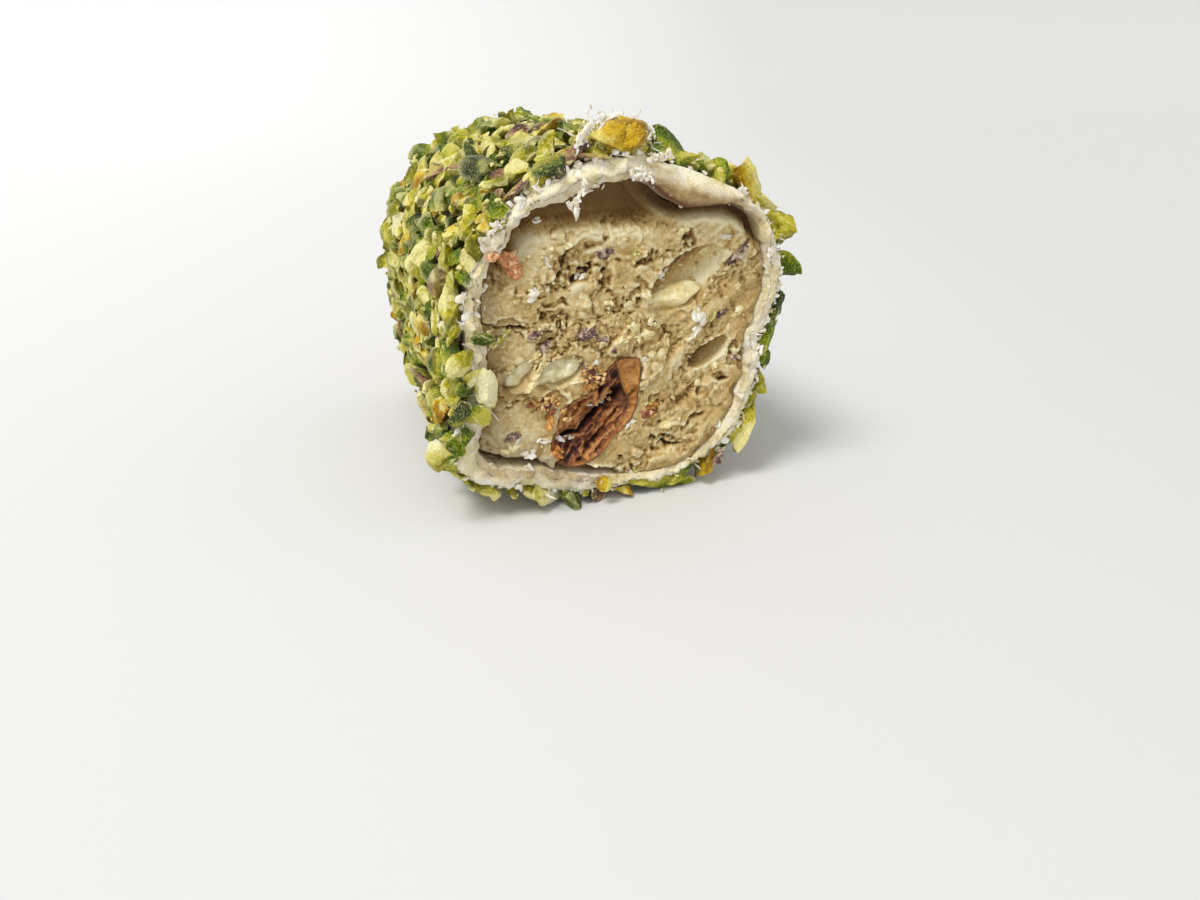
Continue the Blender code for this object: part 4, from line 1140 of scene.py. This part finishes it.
def make_filling(material):
    """The filling as a front and a back half, closed where they meet. Gives each face's points by its end."""
    cuts = {}
    for name, end in (("filling_front", FRONT), ("filling_back", BACK)):
        face, relief_shade_and_tone, stain_and_shade = face_grid(end)
        face = face.reshape(-1, 3)
        cuts[end] = face
        count = FACE_GRID[end]
        ring = border_ring(count)
        border = face[ring]
        angle = np.degrees(np.arctan2(border[:, 2], border[:, 0]))
        rows, points = [ring], [face]
        total = len(face)
        for share in (0.12, 0.3, 0.65, 1.0):
            y = border[:, 1] * (1 - share)
            points.append(around(inner_radius(angle, y) - FILLING_GAP, angle, y))
            rows.append(total + np.arange(len(ring)))
            total += len(ring)
        points.append(np.zeros((1, 3)))
        lid = np.stack([rows[-1], np.roll(rows[-1], -1), np.full(len(ring), total)], axis=-1)
        sheet = sheet_quads(np.arange(count * count).reshape(count, count))
        faces = [sheet[:, ::-end], *[side[:, ::end] for side in (*ring_quads(rows), lid)]]
        extra = total + 1 - len(face)
        made = add_object(name, np.concatenate(points), faces, material, {
            "relief_shade_and_tone": np.concatenate([relief_shade_and_tone.ravel(), np.full(extra, 0.4)]),
            "stain_and_shade": np.concatenate([stain_and_shade.ravel(), np.zeros(extra)])})
        turn_outwards(made)
        keep(made, "filling", "filling")
    return cuts


def make_face_bits(cuts, materials):
    """Nut skins, crumbs, chips and seeds that lie on the cut faces, one piece for each kind."""
    def height(x, z, end=FRONT):
        surface = cuts[end]
        near = np.hypot(surface[:, 0] - x, surface[:, 2] - z) < 0.5 * MM
        if near.any():
            return end * float(np.quantile(end * surface[near, 1], 0.75))
        return end * LENGTH / 2

    draw = random.Random(9)
    for number, (kind, bits) in enumerate(FACE_BITS.items()):
        items = []
        for x, z, length, width, tilt in bits:
            turn = radians(tilt)
            for _ in range(FACE_BIT_LUMPS):
                along, across = draw.uniform(-0.3, 0.3) * length, draw.uniform(-0.28, 0.28) * width
                lump_x = (x + along * cos(turn) - across * sin(turn)) * MM
                lump_z = (z + along * sin(turn) + across * cos(turn)) * MM
                long, wide = draw.uniform(0.4, 0.7) * length, draw.uniform(0.45, 0.75) * width
                centre = np.array([lump_x, height(lump_x, lump_z) + draw.uniform(-0.05, 0.15) * MM, lump_z])
                items.append((centre, FACING[FRONT], (long * MM, wide * MM, 0.7 * wide * MM), tilt))
        make_lumps(f"face_{kind}", materials[kind], "filling", ((2, items),), 20 + number, 0.1, 35, 60)
    items = []
    while len(items) < LOOSE_CRUMBS:
        end = draw.choice((FRONT, FRONT, FRONT, BACK))
        turn, out = draw.uniform(0, 2 * pi), 16.5 * MM * draw.uniform(0, 1) ** 0.5
        x, z = out * cos(turn), out * sin(turn)
        if z > 11 * MM and end == FRONT or float(fig_place(np.float64(x), np.float64(z), end)[2]) < 1.05:
            continue
        size = draw.uniform(0.3, 0.9) * MM
        centre = np.array([x, height(x, z, end) - 0.1 * end * size, z])
        items.append((centre, FACING[end], (size, 0.65 * size, 0.7 * size), draw.uniform(0, 180)))
    make_lumps("filling_crumbs", materials["paste"], "filling", ((2, items),), 34, 0.2, 40, 60)
    items = []
    for x, z, wide, high, count in SEED_CLUSTERS:
        for _ in range(count):
            turn, out = draw.uniform(0, 2 * pi), draw.uniform(0, 1) ** 0.5
            seed_x, seed_z = (x + wide * out * cos(turn)) * MM, (z + high * out * sin(turn)) * MM
            centre = np.array([seed_x, height(seed_x, seed_z) - draw.uniform(0.0, 0.4) * MM, seed_z])
            size = draw.uniform(0.5, 0.85) * MM
            items.append((centre, FACING[FRONT], (size, 0.75 * size, 0.75 * size), draw.uniform(0, 180)))
    make_lumps("fig_seeds", materials["seed"], "fig", ((2, items),), 33, 0.2, 30, 180)


# The fig and the kernels

def fig_place(x, z, end):
    """A place on a cut face in the fig strip's own axes, and its share of the way out to its outline."""
    u, v = tilted(x, z, *FIG_PLACE[end])
    return u, v, np.hypot(u, v) / fig_reach(np.degrees(np.arctan2(v, u)), end)


def fig_reach(angle, end):
    """How far the fig strip's outline lies from its middle at an angle from its long axis."""
    reach = FIG_REACH[end]
    return MM * np.interp(angle % 360, np.arange(25) * 15, reach + reach[:1])


def fig_face(end):
    """The points of the fig's cut end: folds along it, a dark groove between two lobes and a rim of skin."""
    share, angle = square_to_disc(FIG_GRID)
    radius = share * fig_reach(angle, end)
    u, v = radius * np.cos(np.radians(angle)), radius * np.sin(np.radians(angle))
    place = np.stack([u, v, 0 * u + 40 * MM * end], axis=-1)
    bend = 0.8 * MM * layered_noise(place, 4 * MM, 2, 81)
    groove_v = np.interp(u, FIG_GROOVE_ALONG, FIG_GROOVE_ACROSS)
    groove = np.exp(-((v + 0.3 * bend - groove_v) / FIG_GROOVE_WIDTH) ** 2) * step_up(-np.abs(u + MM), -5, 1)
    pocket = np.exp(-((u - 2.8 * MM) / (1.5 * MM)) ** 2 - ((v + 0.7 * MM) / (0.6 * MM)) ** 2)
    crease = np.exp(-((v + 0.6 * bend + 2.2 * MM - 0.1 * u) / (0.22 * MM)) ** 2) * (u < 2 * MM)
    drawn = np.stack([0.35 * u, v + 0.5 * bend, place[..., 2]], axis=-1)
    folds = 1 - 2 * np.abs(layered_noise(drawn, 1.0 * MM, 3, 82))
    grain_away, grain_number = cells(place, 0.6 * MM, 84)
    lumps = layered_noise(place, 1.4 * MM, 3, 83)
    rim = smooth_step((share - 0.93) / 0.06)
    strip = step_up(u - 0.58 * v, 5.2, 0.3) * step_up(v, -2.4, 0.5) * (end == FRONT)
    depth = FACE_RECESS + FIG_HOLLOW * (1 - share ** 4) * (1 - 0.8 * strip)
    depth = depth + (1 - rim) * (1 - 0.85 * strip) * (
        1.0 * MM * groove + 1.5 * MM * pocket + 0.5 * MM * crease - 0.34 * MM * folds - 0.28 * MM * lumps
        + 0.16 * MM * (grain_away - 0.5) + 0.07 * MM * grain_number)
    depth = depth - 0.25 * MM * rim - 0.05 * MM * strip * lumps
    # Painted light and shade: what stands out is lighter, and the groove and the pocket are darker. It is also
    # darker along the outline's lower edge; the lighter lobes are the fig's own colour.
    pixel = 12 * MM / FIG_GRID
    fine, wide = stands_out(depth, 0.4, pixel), stands_out(depth, 1.5, pixel)
    relief_shade_and_tone = 0.36 + 0.5 * fine / (0.4 * MM) + 0.35 * wide / (0.9 * MM)
    lobe = 0.3 * step_up(v - groove_v, 0.5, 1) + 0.25 * step_up(-v, 1.0, 1.2)
    relief_shade_and_tone = relief_shade_and_tone + lobe * step_up(-u, -4, 2) - 0.25 * groove - 0.5 * pocket
    relief_shade_and_tone = relief_shade_and_tone - 0.3 * smooth_step((share - 0.94) / 0.04) * step_up(-v, -0.5, 1)
    edge = smooth_step((share - 0.8) / 0.12) * step_up(-v, 1.2, 1) * step_up(u, -1, 3)
    skin = np.maximum(np.maximum(0.35 * rim, 0.75 * edge), strip)
    skin = skin * (1 - 0.8 * smooth_step((share - 0.965) / 0.03))
    middle_x, middle_z, tilt = FIG_PLACE[end]
    x, z = tilted(u, v, 0, 0, -tilt)
    return np.stack([x + middle_x, end * (LENGTH / 2 - depth), z + middle_z], axis=-1), relief_shade_and_tone, skin


def make_fig(material):
    """The fig strip: two cut ends joined by its side. Gives the front end's points."""
    size = FIG_GRID ** 2
    cuts, relief_shades_and_tones, skins = zip(*[fig_face(end) for end in (FRONT, BACK)])
    points = [cut.reshape(-1, 3) for cut in cuts]
    merged = np.concatenate(points)
    index = np.arange(2 * size).reshape(2, FIG_GRID, FIG_GRID)
    first, last = border_ring(FIG_GRID), size + border_ring(FIG_GRID)
    rows = [first]
    for number, share in enumerate((0.1, 0.5, 0.9)):
        points.append(merged[first] * (1 - share) + merged[last] * share)
        rows.append(2 * size + number * len(first) + np.arange(len(first)))
    faces = [sheet_quads(index[0]), sheet_quads(index[1]), *ring_quads([*rows, last])]
    extra = 3 * len(first)
    made = add_object("fig_flesh", np.concatenate(points), faces, material, {
        "relief_shade_and_tone": np.concatenate([np.ravel(relief_shades_and_tones), np.full(extra, 0.4)]),
        "skin": np.concatenate([np.ravel(skins), np.ones(extra)])})
    turn_outwards(made)
    keep(made, "fig", "fig")
    return points[0]


def make_kernel(name, end, proud, oval, smooth, material):
    """A nut kernel, blunt at one end and pointed at the other, shaved and dimpled where it was cut."""
    x, z, length, width = [value * MM for value in oval[:4]]
    ball, faces = sphere(5)
    u = ball[:, 0]
    girth = 1.08 - 0.11 * (u + 1) - 0.12 * np.maximum(u, 0) ** 2
    deep = KERNEL_DEPTH / 2 * girth * ball[:, 1]
    local = np.stack([length / 2 * u, deep, width / 2 * girth * ball[:, 2]], axis=-1)
    draw = np.random.default_rng(int(abs(x) / (0.1 * MM)))
    for _ in range(KERNEL_CUTS):
        normal = np.array([draw.uniform(-0.5, 0.5), end, draw.uniform(-0.9, 0.9)])
        normal /= np.linalg.norm(normal)
        past = local @ normal - draw.uniform(0.76, 0.92) * (local @ normal).max()
        local = local - 0.9 * np.maximum(past, 0)[:, None] * normal
    bumps = vector_noise(local + x, 1.5 * MM, 5) + 0.45 * vector_noise(local + x, 0.5 * MM, 6)
    local = local + KERNEL_ROUGHNESS[smooth] * bumps
    turn = Matrix.Rotation(radians(-oval[4]), 3, "Y")
    centre = np.array([x, end * (LENGTH / 2 - FACE_RECESS + proud * MM - KERNEL_DEPTH / 2), z])
    keep(add_object(f"{name}_nut", local @ np.array(turn).T + centre, [faces], material), "kernel", name)


# Camera, light and floor

def make_camera():
    yaw, pitch = CAMERA_YAW, CAMERA_PITCH
    forward = Vector((sin(yaw) * cos(pitch), cos(yaw) * cos(pitch), -sin(pitch)))
    right = Vector((cos(yaw), -sin(yaw), 0))
    up = Vector((sin(yaw) * sin(pitch), cos(yaw) * sin(pitch), cos(pitch)))
    across, above, ahead = FACE_FROM_CAMERA
    data = bpy.data.cameras.new("camera")
    data.lens = CAMERA_LENS
    data.sensor_width = CAMERA_SENSOR
    data.clip_start = 5 * MM
    made = show("camera", data)
    place = MIDDLE + Vector((0, -LENGTH / 2, 0)) - right * across - up * above - forward * ahead
    made.matrix_world = Matrix.Translation(place) @ Matrix((right, up, -forward)).transposed().to_4x4()
    bpy.context.scene.camera = made


def make_light():
    """One broad, far key light, and soft white light all round."""
    data = bpy.data.lights.new("key", "SUN")
    data.energy = KEY_STRENGTH
    data.angle = radians(KEY_WIDTH)
    data.color = (1.0, 0.99, 0.975)
    made = show("key", data)
    made.location = KEY_FROM
    made.rotation_euler = Vector(KEY_FROM).to_track_quat("Z", "Y").to_euler()
    world = bpy.data.worlds.new("world")
    world.use_nodes = True
    background = world.node_tree.nodes["Background"].inputs
    background["Color"].default_value = (1.0, 1.0, 1.0, 1)
    background["Strength"].default_value = WORLD_STRENGTH
    bpy.context.scene.world = world
    bpy.context.scene.view_settings.view_transform = "Standard"


def make_sweep():
    """A pale floor that curves up into a far wall, painted a little darker to the right as shade."""
    profile = [(-1.2, 0.0), (0.35, 0.0)]
    profile += [(0.35 + 0.5 * sin(radians(t)), 0.5 - 0.5 * cos(radians(t))) for t in range(6, 91, 6)]
    profile.append((0.85, 1.6))
    mesh = bpy.data.meshes.new("sweep")
    points = [(x, y, z) for y, z in profile for x in (-FLOOR_HALF, FLOOR_HALF)]
    faces = [(2 * r, 2 * r + 1, 2 * r + 3, 2 * r + 2) for r in range(len(profile) - 1)]
    mesh.from_pydata(points, [], faces)
    mesh.shade_smooth()
    shader = Shader("sweep", 0.9, specular=0.2)
    place = shader.node("ShaderNodeSeparateXYZ", {"Vector": shader.place}).outputs
    # Painted shade: the colour darkens towards the right of the view.
    right = shader.math("SUBTRACT", place["X"], shader.math("MULTIPLY", place["Y"], 0.38))
    shade = shader.ramp(shader.math("ADD", right, 0.5), (0.3, 226, 226, 226), (0.5, 214, 214, 213),
                        (0.62, 202, 202, 201))
    show("sweep", mesh, shader.finish(shade))


def main():
    make_camera()
    make_sweep()
    make_light()
    pistachios = {kind: pistachio_material(f"pistachio_{kind}", stops) for kind, (_, stops) in KINDS.items()}
    white = grain_material("wrapper_white", 0.8, 0.6, (0.3, 214, 204, 176), (0.5, 238, 231, 212),
                           (0.7, 253, 251, 246))
    make_skin(skin_material())
    make_coat(pistachios)
    make_dust(pistachios["pale"], white)
    make_strands("wrapper_shreds", white, "wrapper", shreds(random.Random(31)))
    cuts = make_filling(filling_material())
    cuts[FRONT] = np.concatenate([cuts[FRONT], make_fig(fig_material())])
    nuts = {
        True: kernel_material("kernel_light", (0.36, 214, 192, 124), (0.5, 238, 222, 164),
                              (0.63, 253, 244, 204)),
        False: kernel_material("kernel_dull", (0.36, 206, 196, 146), (0.5, 234, 226, 184),
                               (0.63, 252, 248, 222)),
    }
    for kernel in KERNELS:
        make_kernel(*kernel, nuts[kernel[-1]])
    make_face_bits(cuts, {
        "mauve": grain_material("nut_skin_mauve", 0.6, 0.4, (0.36, 72, 38, 38), (0.5, 128, 94, 84),
                                (0.64, 202, 184, 160)),
        "white": white,
        "cream": grain_material("crumb_cream", 0.65, 0.6, (0.3, 206, 184, 118), (0.5, 232, 216, 158),
                                (0.7, 250, 240, 200)),
        "green": pistachios["pale"],
        "paste": grain_material("crumb_paste", 0.75, 0.4, (0.25, 150, 118, 64), (0.45, 196, 168, 108),
                                (0.7, 238, 222, 174)),
        "salmon": grain_material("fig_salmon", 0.5, 0.4, (0.32, 166, 96, 44), (0.5, 216, 150, 98),
                                 (0.66, 246, 202, 158)),
        "orange": grain_material("fig_orange", 0.5, 0.4, (0.34, 142, 78, 16), (0.5, 196, 128, 48),
                                 (0.66, 234, 182, 108)),
        "fig": grain_material("fig_bit", 0.45, 0.6, (0.3, 74, 30, 16), (0.5, 118, 62, 36),
                              (0.7, 166, 104, 64)),
        "seed": grain_material("fig_seed", 0.35, 0.6, (0.3, 168, 116, 50), (0.5, 206, 160, 90),
                               (0.7, 236, 204, 152)),
    })


main()
